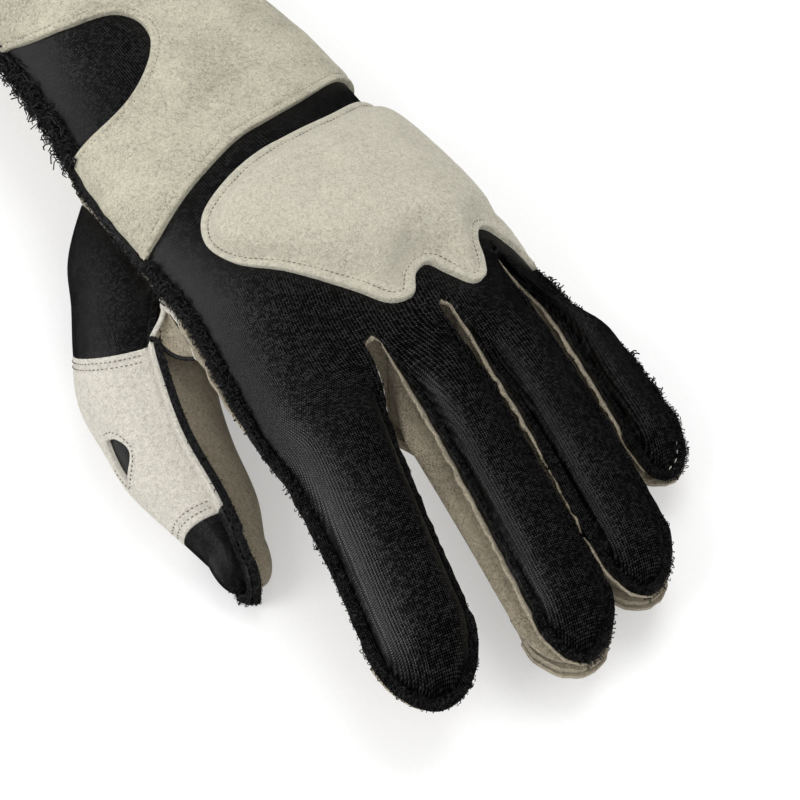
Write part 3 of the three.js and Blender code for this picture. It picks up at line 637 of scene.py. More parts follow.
def digit_columns(name):
    """The columns of a digit's cloth from its left: its two fins and the arches between."""
    arches = np.linspace(-1, 1, ARCHES[name] + 2)
    columns = [{"edge": -1, "out": FIN * share} for share in FIN_SHARES]
    columns += [{"arch": arch} for arch in arches]
    return columns + [{"edge": 1, "out": FIN * share} for share in FIN_SHARES[::-1]]


def finger_columns(finger):
    """A finger's columns, each with its place across the hand and how far it dips into the hand."""
    columns = digit_columns(FINGERS[finger]["name"])
    for column in columns:
        column["finger"] = finger
        column["dip"] = SLIT_END
        if "arch" in column:
            share = (column["arch"] + 1) / 2
            column["across"] = mix(crease_across(finger, -1), crease_across(finger, 1), share)
        else:
            edge = column["edge"]
            share = column["out"] / FIN
            column["across"] = mix(crease_across(finger, edge), slit_edge(finger, edge), share)
    return columns


def hand_columns():
    """All the columns across the hand, with those round the ends of the slits."""
    columns = []
    for finger in range(len(FINGERS)):
        columns += finger_columns(finger)
        if finger < len(WEBS["across"]):
            for turn in SLIT_TURNS:
                reach = SLIT * math.cos(math.radians(turn)) / BACK_ARC
                dip = SLIT_END * (1 - math.sin(math.radians(turn)))
                columns.append({"across": WEBS["across"][finger] - reach, "dip": dip})
    return columns


def column_point(side, column, y, deep):
    """A point of a column at y. A fin's edge wanders, and its rim is rounded off."""
    if "arch" in column:
        point = crown_point(side, column["finger"], column["arch"], y, deep)
    elif "edge" in column:
        finger, edge, out = column["finger"], column["edge"], column["out"]
        point = seam_point(side, finger, edge, y, out, deep)
        reach = fin_end(point[..., 0], point[..., 1])
        if not is_long_seam(finger, edge):
            reach = reach - KNIT_TRIM[edge] * smooth((root_at(side, column["across"]) - y) / 8)
            if side > 0 and edge < 0 and finger == CLOSED_SLIT["finger"]:
                closed = smooth((CLOSED_SLIT["start"] - y) / CLOSED_SLIT["length"])
                reach = reach + CLOSED_SLIT["reach"] * closed
        elif side < 0:
            reach = reach + np.interp(y, PALM_SHOWS["y"], PALM_SHOWS["shows"])
        point = seam_point(side, finger, edge, y, out + reach * out / FIN, deep)
    else:
        point = hand_wall(side, column["across"], y, deep)
    return point


def is_rim(column):
    return column.get("out") == FIN


def is_seam_fin(column):
    return "edge" in column and is_long_seam(column["finger"], column["edge"])


def hand_row_y(side, column, step):
    root = root_at(side, column["across"]) - SLIT_END
    bump = (SLIT_END - column["dip"]) * np.maximum(0, 1 - step / ROOT_FADE)
    return mix(root, MOUTH_Y, step) + bump


def finger_middle(finger):
    """The middle of a finger's cloth, in millimetres across the weave."""
    return (crease_across(finger, -1) + crease_across(finger, 1)) / 2 * BACK_ARC


def weave_of(column, point, y):
    """Where a point lies in its cloth: millimetres across and along the ribs."""
    across = np.full(np.shape(y), column["across"] * BACK_ARC)
    if "finger" in column:
        finger = column["finger"]
        shape = section(FINGERS[finger], y)
        free = smooth((root_at(1, column["across"]) - SLIT_END - y) / (2 * BLEND))
        round_it = finger_middle(finger) + ROUND_SHARE * (point[..., 0] - shape["middle"])
        across = mix(across, round_it, free)
    return np.stack((across, y), -1)


def bump_face(point, side):
    """Soft unevenness of a worn face, in millimetres."""
    return side * 0.16 * waves(point[..., 0], point[..., 1], 21.0, 2)


def hand_panel(side, thick, name, material):
    """The back or the palm: the hand and its four fingers in one piece of cloth."""
    cloth = Cloth()
    columns = hand_columns()

    def pairs(column, y):
        soft = 0.0
        if is_rim(column):
            at_seam = is_long_seam(column["finger"], column["edge"])
            free = 1.0 if at_seam else smooth((root_at(side, column["across"]) - SLIT_END - y) / 4)
            soft = RIM_WORN * free
        close = SEAM_CLOSING if side < 0 and is_seam_fin(column) else 0.0
        outer = column_point(side, column, y, soft)
        inner = column_point(side, column, y, thick + close - soft / 2)
        if "arch" in column:
            outer[..., 2] += bump_face(outer, side) * math.cos(column["arch"] * math.pi / 2)
        return stand(outer, 0), stand(inner, thick), weave_of(column, outer, y)

    steps = np.linspace(0, 1, HAND_ROWS) ** HAND_ROW_BIAS
    made = [pairs(column, hand_row_y(side, column, steps)) for column in columns]
    rows = cloth.add(*(np.stack(part, 1) for part in zip(*made)))
    cloth.grid(rows)
    for finger, digit in enumerate(FINGERS):
        chosen = [k for k, column in enumerate(columns) if column.get("finger") == finger]
        own = [columns[k] for k in chosen]
        shares = np.linspace(1, 0, FINGER_ROWS + 1)[:-1]
        made = [pairs(c, mix(hand_row_y(side, c, 0.0), cap_start(digit), shares)) for c in own]
        finger_rows = cloth.add(*(np.stack(part, 1) for part in zip(*made)))
        cloth.grid([*finger_rows, rows[0][chosen]])
        weave_start = finger_middle(finger) - ROUND_SHARE * section(digit, cap_start(digit))["middle"]

        def lie(point, weave_start=weave_start):
            return np.stack((weave_start + ROUND_SHARE * point[..., 0], point[..., 1]), -1)

        add_round_tip(cloth, digit, side, thick, finger_rows[0], own, lie)
    return cloth.make(name, material)


def add_round_tip(cloth, digit, side, thick, last_row, columns, lie, place=lambda point: point):
    """The round end of a digit's cloth: half rings about the middle of its last row. lie gives a point's
    place in the cloth, and place turns the digit's frame into the hand's."""
    turns = np.linspace(0, 180, TIP_TURNS + 1)[1:-1]
    count = len(columns)
    rings = []
    for k in range(count // 2):
        column = columns[count - 1 - k]
        if "arch" in column:
            radius = arch_share(column["arch"])
            outer = place(tip_crown(digit, side, radius, turns, 0.0))
            inner = place(tip_crown(digit, side, radius, turns, thick))
        else:
            out = column["out"]
            soft = RIM_WORN if is_rim(column) else 0.0
            wander = fin_end(*round_tip(digit, side, turns, out, 0)[..., :2].T) * out / FIN
            shows = TIP_SHOWS[digit["name"]] if side < 0 else -0.5 * max(TIP_SHOWS[digit["name"]], 0)
            wander = (wander + shows * out / FIN) * np.sin(np.radians(turns))
            outer = place(round_tip(digit, side, turns, out + wander, soft))
            inner = place(round_tip(digit, side, turns, out + wander, thick - soft / 2))
        ring = cloth.add(stand(outer, 0), stand(inner, thick), lie(outer))
        rings.append([last_row[count - 1 - k], *ring, last_row[k]])
    cloth.grid(rings[::-1])
    cloth.fan(last_row[count // 2], rings[-1])


def fourchette(finger, material):
    """The suede wall between two fingers: a channel that runs from one tip round the slit's end."""
    cloth = Cloth()
    rows = []

    def add(at, edge, thick=SUEDE, shows=1.0, belly=0.0):
        rows.append(cloth.add(*wall_section(at, edge, thick, shows, belly)))

    def add_tip(index, share):
        digit = FINGERS[index]
        stop = TIP_STOP["seam" if digit["tip"]["wall"] == SEAM else "wall"]
        reach = share * (90 - stop)
        turn = reach if index == finger else 180 - reach
        height = wall_round_tip(digit, section(digit, cap_start(digit)), turn)
        thick = min(SUEDE, (height - WALL_TOP - WALL_LOW - 0.4) / 2)
        shows = max(TIP_SHOWS[digit["name"]], 0.5 * (1 - share))
        edge = 1 if index == finger else -1
        belly = BELLY[finger] * (1 - share) if edge < 0 else 0.0
        add(lambda side, out, deep: round_tip(digit, side, turn, out, deep), edge, thick, shows, belly)

    def add_leg(index, edge, step):
        start = {side: root_at(side, slit_edge(index, edge)) - SLIT_END for side in (1, -1)}
        end = cap_start(FINGERS[index])
        belly = 0.0
        if edge < 0:
            belly = BELLY[finger] * float(smooth(step * 4)) * (1 + ROOT_BELLY * (1 - step))
        add(
            lambda side, out, deep: seam_point(side, index, edge, mix(start[side], end, step), out, deep),
            edge, belly=belly,
        )

    def add_turn(turn):
        cos, sin = math.cos(math.radians(turn)), math.sin(math.radians(turn))

        def at(side, out, deep):
            radius = FIN - out
            across = WEBS["across"][finger] - (SLIT + radius * FIN_IN_HAND) * cos / BACK_ARC
            start = WEBS["back" if side > 0 else "palm"][finger] - SLIT_END
            return hand_wall(side, across, start + (SLIT_END + radius) * sin, deep)

        add(at, cos)

    legs = np.linspace(0, 1, FINGER_ROWS * 2 + 1)[1:]
    shares = np.linspace(0, 1, WALL_TIP_ROWS + 1)[1:]
    for share in shares[::-1]:
        add_tip(finger, share)
    for step in legs[::-1]:
        add_leg(finger, 1, step)
    for turn in np.linspace(0, 180, WALL_TURNS):
        add_turn(turn)
    for step in legs:
        add_leg(finger + 1, -1, step)
    for share in shares:
        add_tip(finger + 1, share)
    cloth.grid(rows)
    return cloth.make("fourchette_" + FINGERS[finger]["name"], material)


def wall_section(at, edge, thick, shows, belly):
    """One section of the channel: its upper fin, its wall, which sags inwards or bulges out by its
    belly, and its lower fin. The upper fin stands out past the knit's, further on the edge that faces
    the thumb and at the slit's end, and rises more there too."""
    outer, inner = [], []
    left = (1 - edge) / 2
    at_slit_end = 1 - abs(edge)
    more = mix(SUEDE_SHOWS[1], SUEDE_SHOWS[-1], left) + WALL_FIN["end_shows"] * at_slit_end
    rise = mix(SUEDE_LIFT[1], SUEDE_LIFT[-1], left) + WALL_FIN["end_lifts"] * at_slit_end

    def reach(side, most):
        tip = at(side, FIN, WALL_TOP)
        return FIN + shows * (most + WALL_FIN["wander"] * fin_end(tip[..., 0] * 1.7, tip[..., 1] * 1.7))

    end = reach(1, more)
    rumple = WALL_FIN["rumple"] * waves(*at(1, FIN, WALL_TOP)[:2], 3.4, 6)
    for share in (1.0, 0.9, 0.75, 0.55, 0.3):
        out = end * share
        lift = shows * (rise + rumple) * float(smooth((out - 0.45 * FIN) / (0.6 * FIN)))
        worn = WALL_FIN["worn"] if share == 1.0 else 0.0
        thinner = WALL_FIN["thinner"] * float(smooth((share - 0.3) / 0.5))
        outer.append(at(1, out, WALL_TOP + thick - worn - thinner) + (0, 0, lift))
        inner.append(at(1, out, WALL_TOP + worn) + (0, 0, lift))
    corner_out = [at(1, 0.0, WALL_TOP + thick), at(-1, 0.0, WALL_LOW + thick)]
    corner_in = [at(1, -SUEDE, WALL_TOP), at(-1, -SUEDE, WALL_LOW)]
    inward = corner_in[0] - corner_out[0]
    inward[2] = 0
    inward = inward / max(np.linalg.norm(inward), 1e-6)
    for share in np.linspace(0, 1, 9):
        sag = (WALL_SAG * shows * (belly == 0) - belly) * math.sin(math.pi * share)
        outer.append(mix(*corner_out, share) + inward * sag)
        inner.append(mix(*corner_in, share) + inward * sag)
    end = reach(-1, SUEDE_SHOWS[1])
    for share in (0.45, 0.8, 1.0):
        outer.append(at(-1, end * share, WALL_LOW + thick))
        inner.append(at(-1, end * share, WALL_LOW))
    outer, inner = np.array(outer), np.array(inner)
    weave = np.stack((np.arange(len(outer)) * 2.0, outer[..., 1]), -1)
    return stand(outer, WALL_LOW + SUEDE), stand(inner, WALL_LOW), weave


# Pieces cut from a flat pattern


def spline(points, spacing, closed=False):
    """A smooth line through points, as points a spacing apart."""
    points = np.array(points, float)
    if closed:
        ring = np.concatenate((points[-1:], points, points[:2]))
    else:
        ring = np.concatenate((2 * points[:1] - points[1:2], points, 2 * points[-1:] - points[-2:-1]))
    t = np.linspace(0, 1, 24, endpoint=False)[:, None]
    pieces = []
    for before, start, end, after in zip(ring, ring[1:], ring[2:], ring[3:]):
        steps = (start - before, end - start, after - end)
        gaps = [max(np.linalg.norm(step), 1e-6) ** 0.5 for step in steps]
        first = (start - before) / gaps[0] - (end - before) / (gaps[0] + gaps[1]) + (end - start) / gaps[1]
        last = (end - start) / gaps[1] - (after - start) / (gaps[1] + gaps[2]) + (after - end) / gaps[2]
        pieces.append(cubic(start, first * gaps[1], end, last * gaps[1], t))
    line = np.concatenate(pieces + [points[:1] if closed else points[-1:]])
    return evenly(line, spacing)


def headings(line):
    """The direction of a line at each of its points."""
    heading = np.gradient(line, axis=0)
    return heading / np.maximum(np.linalg.norm(heading, axis=1, keepdims=True), 1e-9)


def left_of(line):
    """The way to the left of a flat line at each of its points."""
    heading = headings(line)
    return np.stack((-heading[:, 1], heading[:, 0]), -1)


def back_to_start(line):
    """The line of a loop, with its first point again at its end."""
    return np.concatenate((line, line[:1]))


def evenly(line, spacing):
    """The same line as points an even spacing apart."""
    lengths = np.concatenate(([0], np.cumsum(np.linalg.norm(np.diff(line, axis=0), axis=1))))
    count = max(2, int(round(lengths[-1] / spacing)) + 1)
    at = np.linspace(0, lengths[-1], count)
    return np.stack([np.interp(at, lengths, line[:, k]) for k in range(line.shape[1])], -1)


def distance_to(points, lines):
    """The distance of each point from the nearest of some lines, and how far along that line it is."""
    best = np.full(len(points), 1e9)
    reach = np.zeros(len(points))
    for line in lines:
        starts, ends = line[:-1], line[1:]
        sizes = np.linalg.norm(ends - starts, axis=1)
        travelled = np.concatenate(([0], np.cumsum(sizes)))[:-1]
        for k in range(0, len(points), 4000):
            some = points[k : k + 4000, None]
            t = np.einsum("ijk,jk->ij", some - starts, ends - starts) / np.maximum(sizes**2, 1e-12)
            t = np.clip(t, 0, 1)
            away = np.linalg.norm(some - (starts + t[..., None] * (ends - starts)), axis=2)
            nearest = away.argmin(1)
            rows = np.arange(len(nearest))
            closer = away[rows, nearest] < best[k : k + 4000]
            found = travelled[nearest] + t[rows, nearest] * sizes[nearest]
            reach[k : k + 4000] = np.where(closer, found, reach[k : k + 4000])
            best[k : k + 4000] = np.where(closer, away[rows, nearest], best[k : k + 4000])
    return best, reach


def is_inside(points, loop):
    """Whether each point lies inside a closed loop."""
    x, y = points[:, 0, None], points[:, 1, None]
    x0, y0 = loop[:, 0], loop[:, 1]
    x1, y1 = np.roll(x0, -1), np.roll(y0, -1)
    with np.errstate(divide="ignore", invalid="ignore"):
        crossing = (y0 > y) != (y1 > y)
        meets = x < (x1 - x0) * (y - y0) / (y1 - y0) + x0
    return (crossing & meets).sum(1) % 2 == 1


def inset_line(line, depth, outline):
    """A line moved inward from an outline by a depth, without the points that come too close to it."""
    normal = left_of(line)
    trial = line + 0.2 * normal
    if is_inside(trial, outline).mean() < 0.5:
        normal = -normal
    moved = line + depth * normal
    away, _ = distance_to(moved, [back_to_start(outline)])
    return moved[(away > 0.96 * depth) & is_inside(moved, outline)]


def flat_pattern(outline, insets, spacing, holes=()):
    """Points and triangles that fill a closed outline, with rows that follow its edge."""
    loops = [outline, *holes]
    closed = [back_to_start(loop) for loop in loops]
    fill = list(loops)
    for loop in closed:
        normal = left_of(loop)[:-1]
        for depth in insets[1:]:
            for sign in (1, -1):
                row = loop[:-1] + sign * depth * normal
                fill.append(row[keep_inside(row, loops, closed, 0.95 * depth)])
    low, high = outline.min(0), outline.max(0)
    row_step = spacing * 0.866
    columns, rows = np.meshgrid(np.arange(low[0], high[0], spacing), np.arange(low[1], high[1], row_step))
    columns[1::2] += spacing / 2
    lattice = np.stack((columns.ravel(), rows.ravel()), -1)
    fill.append(lattice[keep_inside(lattice, loops, closed, insets[-1] + 0.55 * spacing)])
    points = np.concatenate(fill)
    edges = []
    first = 0
    for loop in loops:
        edges += [(first + k, first + (k + 1) % len(loop)) for k in range(len(loop))]
        first += len(loop)
    flat = [Vector(point) for point in points.tolist()]
    found, _, faces, *_ = delaunay_2d_cdt(flat, edges, [], 0, 1e-5)
    found = np.array([tuple(point) for point in found])
    faces = np.array(faces)
    middles = found[faces].mean(1)
    keep = is_inside(middles, outline)
    for hole in holes:
        keep &= ~is_inside(middles, hole)
    return found, faces[keep]


def keep_inside(points, loops, closed, depth):
    """Whether each point lies in the first loop and in none of the others, at least depth from all."""
    keep = is_inside(points, loops[0])
    for hole in loops[1:]:
        keep &= ~is_inside(points, hole)
    away, _ = distance_to(points, closed)
    return keep & (away >= depth)


def even(deep):
    """The same depth for every point of a pattern."""
    return lambda points: np.full(len(points), deep)


def pattern_cloth(name, material, flat, faces, place, outer_deep, inner_deep):
    """A closed wall from a flat pattern: place maps its points and a depth to the model's frame."""
    used, numbers = np.unique(faces, return_inverse=True)
    faces = numbers.reshape(faces.shape)
    flat = flat[used]
    cloth = Cloth()
    cloth.add(place(flat, outer_deep(flat)), place(flat, inner_deep(flat)), flat)
    cloth.faces = faces.tolist()
    return cloth.make(name, material)


# A sewn border's height by its distance from the edge: a turned rim, then a groove under the stitches
BORDER = table(
    "away height",
    [
        (0, -0.55), (0.12, -0.3), (0.35, -0.12), (0.8, -0.04), (1.25, -0.06), (1.6, -0.16), (1.85, -0.3),
        (2.1, -0.18), (2.6, -0.02), (3.4, 0.04), (5, 0.02), (9, 0),
    ],
)
BORDER_INSETS = (0, 0.12, 0.35, 0.8, 1.25, 1.6, 1.85, 2.15, 2.6, 3.4)
THUMB_BORDER_INSETS = BORDER_INSETS[:8]
PUCKER = {"width": 0.8, "height": 0.09}

# The rows of stitches by their distance from the edge, and how far they lie below the face
STITCH_INSET = 1.85
SECOND_STITCH_INSET = 3.1
THUMB_STITCH_ROWS = (1.6, 3.1)
STITCH_DEPTH = 0.28
SECOND_STITCH_LIFT = 0.3

# The crown of the knuckle pad: where it starts to rise from its border, and over what length
CROWN_START = 2.9
CROWN_LENGTH = 2.6


def border_height(away, reach, pitch):
    """The border's height, puckered at each stitch."""
    height = np.interp(away, BORDER["away"], BORDER["height"])
    near = np.exp(-(((away - STITCH_INSET) / PUCKER["width"]) ** 2))
    return height + near * PUCKER["height"] * np.cos(2 * math.pi * reach / pitch)


def on_back(flat, deep):
    """Places points of a flat pattern, in millimetres across and along, on the hand's back and, beyond
    its crease, on the thumb side's fin."""
    crease = SEAM / 2
    inner_fin = FIN * FIN_SHARES[-1]
    out = crease - flat[:, 0]
    wall = hand_wall(1, np.maximum(flat[:, 0], crease) / BACK_ARC, flat[:, 1], deep)
    fin = hand_seam(1, -1, flat[:, 1], np.maximum(out, inner_fin), deep)
    return stand(mix(wall, fin, np.clip(out / inner_fin, 0, 1)[:, None]), 0)


def cuff_outline():
    """The cuff's sewn lines and plain sides by name, and its whole outline."""
    across = np.linspace(CUFF_SIDES["thumb"], CUFF_SIDES["little"], 80)
    strap = np.stack((across * BACK_ARC, along(CUFF_EDGE, "y", across, "across")), -1)
    opening = spline(CUFF_OPENING, 0.8)
    opening[:, 0] = hand_across(opening[:, 0], opening[:, 1]) * BACK_ARC
    left, right = CUFF_SIDES["thumb"] * BACK_ARC, CUFF_SIDES["little"] * BACK_ARC
    opening = opening[opening[:, 0] > left + 0.3]
    lines = {
        "strap": evenly(strap, 1.1),
        "little_side": evenly(np.array([strap[-1], (right, MOUTH_Y)]), 1.5),
        "mouth": evenly(np.array([(right, MOUTH_Y), (left, MOUTH_Y)]), 1.2),
        "thumb_side": evenly(np.array([(left, MOUTH_Y), (left, opening[-1][1])]), 1.5),
        "opening": evenly(opening[::-1], 1.0),
        "strap_end": evenly(np.array([(left, opening[0][1]), strap[0]]), 1.1),
    }
    cut = np.concatenate(([(left, opening[-1][1])], lines["opening"], [(left, opening[0][1])]))
    sides = [lines[name] for name in ("strap", "little_side", "mouth", "thumb_side")]
    return lines, np.concatenate([line[:-1] for line in (*sides, cut, lines["strap_end"])])


def pad_outline():
    return spline([(across * BACK_ARC, y) for across, y in PAD_OUTLINE], 1.1, closed=True)[:-1]


def pad_height(flat, away):
    """The padded crown's height over the border, thinner to the outer side."""
    across = flat[:, 0] / BACK_ARC
    thin = smooth((across - PAD_THINNING["start"]) / (PAD_THINNING["end"] - PAD_THINNING["start"]))
    rise = PAD_RISE * (1 - PAD_THINNING["share"] * thin)
    return rise * (1 - np.exp(-np.maximum(away - CROWN_START, 0) / CROWN_LENGTH))


# Materials


class Nodes:
    """Makes and links the nodes of one tree."""

    def __init__(self, tree):
        self.tree = tree
        tree.nodes.clear()

    def add(self, kind, values=None, **settings):
        """A node with its settings, and its inputs set to a value or joined to an output."""
        made = self.tree.nodes.new(kind)
        for name, value in settings.items():
            setattr(made, name, value)
        for name, value in (values or {}).items():
            if isinstance(value, bpy.types.NodeSocket):
                self.tree.links.new(value, made.inputs[name])
            else:
                made.inputs[name].default_value = value
        return made

    def out(self, kind, values=None, **settings):
        """The first output of a new node."""
        return self.add(kind, values, **settings).outputs[0]

    def vector(self, **values):
        return self.out("ShaderNodeCombineXYZ", values)

    def math(self, operation, first, second=0.0, third=0.0):
        return self.out("ShaderNodeMath", {0: first, 1: second, 2: third}, operation=operation)

    def noise(self, place, scale, detail=3.0, roughness=0.55):
        values = {"Vector": place, "Scale": scale, "Detail": detail, "Roughness": roughness}
        return self.out("ShaderNodeTexNoise", values)

    def ramp(self, factor, stops):
        made = self.add("ShaderNodeValToRGB", {"Fac": factor})
        elements = made.color_ramp.elements
        while len(elements) < len(stops):
            elements.new(0.5)
        for element, (position, colour) in zip(elements, stops):
            element.position = position
            element.color = (*colour, 1) if len(colour) == 3 else colour
        return made.outputs["Color"]

    def blend(self, factor, first, second):
        return self.add("ShaderNodeMix", {0: factor, 6: first, 7: second}, data_type="RGBA").outputs[2]

    def bump(self, height, distance, strength=1.0, normal=None):
        values = {"Height": height, "Distance": distance, "Strength": strength}
        if normal is not None:
            values["Normal"] = normal
        return self.out("ShaderNodeBump", values)

    def times(self, first, second):
        return self.math("MULTIPLY", first, second)

    def scaled(self, value, factor, start):
        """The value times a factor, added to a start."""
        return self.math("MULTIPLY_ADD", value, factor, start)

    def place(self):
        """Where a point lies in its object, in metres."""
        return self.add("ShaderNodeTexCoord").outputs["Object"]


def new_material(name):
    material = bpy.data.materials.new(name)
    material.use_nodes = True
    return material, Nodes(material.node_tree)


def finish_material(nodes, colour, normal, roughness, sheen, sheen_tint, sheen_roughness, specular):
    values = {
        "Base Color": colour, "Normal": normal, "Roughness": roughness, "Sheen Weight": sheen,
        "Sheen Tint": sheen_tint, "Sheen Roughness": sheen_roughness, "Specular IOR Level": specular,
    }
    nodes.add("ShaderNodeOutputMaterial", {"Surface": nodes.out("ShaderNodeBsdfPrincipled", values)})


def shade(colour, factor, blue=1.0):
    """A colour made lighter or darker, and bluer or less blue."""
    red, green, own_blue = (channel * factor for channel in colour[:3])
    return (red, green, own_blue * blue, 1)


def knit_material(name, colour, rib, loop_length):
    """Black stretch knit: ribs of small loops along the weave, each loop a little lighter or darker at
    random.
    The loops' tops are painted much lighter and the grooves near black: painted highlight and painted shade.
    """
    material, nodes = new_material(name)
    place = nodes.place()
    fuzz = nodes.noise(place, 2400.0, 3.0, 0.7)

    # The ribs and loops, in millimetres of the weave: a ridge along each rib, cut into loops
    weave = nodes.out("ShaderNodeUVMap", uv_map="weave")
    split = nodes.add("ShaderNodeSeparateXYZ", {"Vector": weave}).outputs
    across = nodes.scaled(nodes.noise(place, 240.0, 2.0), 0.3, split["X"])
    ribs = nodes.math("DIVIDE", across, rib)
    off_rib = nodes.math("PINGPONG", nodes.math("ADD", ribs, 0.5), 0.5)
    ridge = nodes.math("SUBTRACT", 1.0, nodes.math("POWER", nodes.times(off_rib, 2.0), 2.0))
    loops = nodes.scaled(off_rib, 1.1, nodes.math("DIVIDE", split["Y"], loop_length))
    loop = nodes.math("SINE", nodes.times(nodes.math("FRACT", loops), math.pi))
    height = nodes.times(ridge, nodes.scaled(loop, 0.85, 0.15))

    # Each loop's own lightness
    rib_number = nodes.math("FLOOR", nodes.math("ADD", ribs, 0.5))
    cell = nodes.vector(X=rib_number, Y=nodes.math("FLOOR", loops))
    chance = nodes.out("ShaderNodeTexWhiteNoise", {"Vector": cell}, noise_dimensions="2D")
    own = nodes.scaled(nodes.math("POWER", chance, 2.0), 0.8, 0.6)
    uneven = nodes.scaled(nodes.noise(place, 60.0, 4.0), 0.5, 0.75)
    tone = nodes.scaled(fuzz, 0.12, nodes.times(nodes.times(height, own), uneven))
    # Painted highlight and shade: the higher a point of a loop, the lighter it is painted, near black in the
    # grooves
    lightness = ((0.0, 0.05), (0.3, 0.3), (0.6, 2.6), (1.0, 11.0))
    cloth = nodes.ramp(tone, [(position, shade(colour, factor)) for position, factor in lightness])

    # A few pale specks of lint, in some places only
    lint = nodes.out("ShaderNodeTexVoronoi", {"Vector": place, "Scale": 560.0, "Randomness": 1.0})
    speck = nodes.math("LESS_THAN", lint, 0.1)
    rare = nodes.math("GREATER_THAN", nodes.noise(place, 110.0, 2.0), 0.58)
    cloth = nodes.blend(nodes.times(nodes.times(speck, rare), 0.16), cloth, (0.2, 0.19, 0.18, 1))

    raised = nodes.times(height, nodes.scaled(own, 0.6, 0.4))
    normal = nodes.bump(nodes.scaled(fuzz, 0.22, raised), 0.00008)
    finish_material(nodes, cloth, normal, 0.42, 0.006, (0.6, 0.62, 0.68, 1), 0.4, 0.4)
    return material


def suede_material(name, colour, mottle, flecks, nap, brushed):
    """Suede: short curly nap with brushed patches, fine grain and a few warm flecks. nap is the height
    of the relief in metres, and brushed the share of the patches in its tone."""
    material, nodes = new_material(name)
    place = nodes.place()
    patches = nodes.noise(place, 70.0, 4.0, 0.6)
    curl = {"Vector": place, "Scale": 1150.0, "Detail": 3.0, "Roughness": 0.6, "Distortion": 1.2}
    curls = nodes.out("ShaderNodeTexNoise", curl)
    grain = nodes.noise(place, 3000.0, 3.0, 0.7)
    fine = nodes.scaled(curls, 0.55, nodes.times(grain, 0.45))
    tone = nodes.scaled(patches, brushed, nodes.times(fine, 1 - brushed))
    lightness = ((0.39, 1 - 1.5 * mottle), (0.5, 1.0), (0.61, 1 + mottle))
    cloth = nodes.ramp(tone, [(position, shade(colour, factor)) for position, factor in lightness])
    warm = nodes.math("GREATER_THAN", nodes.noise(place, 620.0, 5.0, 0.75), 0.6)
    cloth = nodes.blend(nodes.times(warm, flecks), cloth, (0.27, 0.2, 0.155, 1))
    normal = nodes.bump(nodes.noise(place, 260.0, 3.0), 0.0003, 0.5, nodes.bump(fine, nap))
    finish_material(nodes, cloth, normal, 0.92, 0.22, (1.0, 0.98, 0.93, 1), 0.5, 0.12)
    return material


def thread_material(name, colour, sheen=0.2, specular=0.25, scale=4200.0, shades=(0.7, 1.15)):
    """Twisted thread, a little uneven in colour."""
    material, nodes = new_material(name)
    twist = nodes.noise(nodes.place(), scale, 2.0)
    cloth = nodes.ramp(twist, [(0.35, shade(colour, shades[0])), (0.65, shade(colour, shades[1]))])
    finish_material(nodes, cloth, nodes.bump(twist, 0.00008, 0.8), 0.75, sheen, (1, 1, 1, 1), 0.4, specular)
    return material


# The suedes: the base colour of each, how much lighter and bluer it is, and how mottled, flecked, rough (in
# metres) and brushed. The palm's suede and the thumb's palm side are darker copies, as painted shade, and
# the thumb's back is a lighter copy, as painted light.
SUEDES = {
    "suede_pad": ("suede", 1.06, 0.97, 0.2, 0.0, 0.0006, 0.1),
    "suede_cuff": ("suede", 1.06, 0.92, 0.32, 0.4, 0.0009, 0.26),
    # The thumb's back, also the gusset's rims: the suede painted lighter, as painted light on its lit side
    "suede_thumb": ("suede", 1.32, 1.05, 0.18, 0.0, 0.0008, 0.1),
    # The palm, the walls between the fingers and the gusset: the darker suede, painted shade
    "suede_palm": ("suede_painted_shade", 1.0, 1.0, 0.34, 0.02, 0.0008, 0.2),
    # The thumb's palm side: darker still, as painted shade where the hand hangs over it
    "suede_thumb_palm": ("suede_painted_shade", 0.84, 1.0, 0.3, 0.02, 0.0008, 0.2),
}
MATERIALS = {}


def material_of(name):
    """The glove's materials, each made when it is first asked for."""
    if name not in MATERIALS:
        MATERIALS[name] = make_material(name)
    return MATERIALS[name]


def make_material(name):
    colours = bpy.context.scene.glove_colours
    sizes = bpy.context.scene.glove_sizes
    if name in SUEDES:
        base, lighter, bluer, mottle, flecks, nap, brushed = SUEDES[name]
        tint = shade(getattr(colours, base), lighter, bluer)
        made = suede_material(name, tint, mottle, flecks, nap, brushed)
    elif name == "knit":
        made = knit_material(name, colours.knit, sizes.rib_pitch / MM, sizes.loop_pitch / MM)
    elif name == "pile":
        made = thread_material(name, colours.pile, 0.02, 0.24, 1500.0, (0.4, 3.4))
    elif name == "cuff_thread":
        made = thread_material(name, shade(colours.thread, 1.8))
    else:
        made = thread_material(name, getattr(colours, name))
    return made


# Stitches and frayed edges


SOCKET_KINDS = {float: "NodeSocketFloat", int: "NodeSocketInt"}


def new_tree(name, inputs):
    """A geometry tree whose inputs are a mesh, the named values with their defaults, and a material."""
    tree = bpy.data.node_groups.new(name, "GeometryNodeTree")
    tree.interface.new_socket(name="Geometry", in_out="INPUT", socket_type="NodeSocketGeometry")
    tree.interface.new_socket(name="Geometry", in_out="OUTPUT", socket_type="NodeSocketGeometry")
    for label, default in inputs.items():
        kind = SOCKET_KINDS[type(default)]
        tree.interface.new_socket(name=label, in_out="INPUT", socket_type=kind).default_value = default
    tree.interface.new_socket(name="Material", in_out="INPUT", socket_type="NodeSocketMaterial")
    nodes = Nodes(tree)
    return tree, nodes, nodes.add("NodeGroupInput").outputs


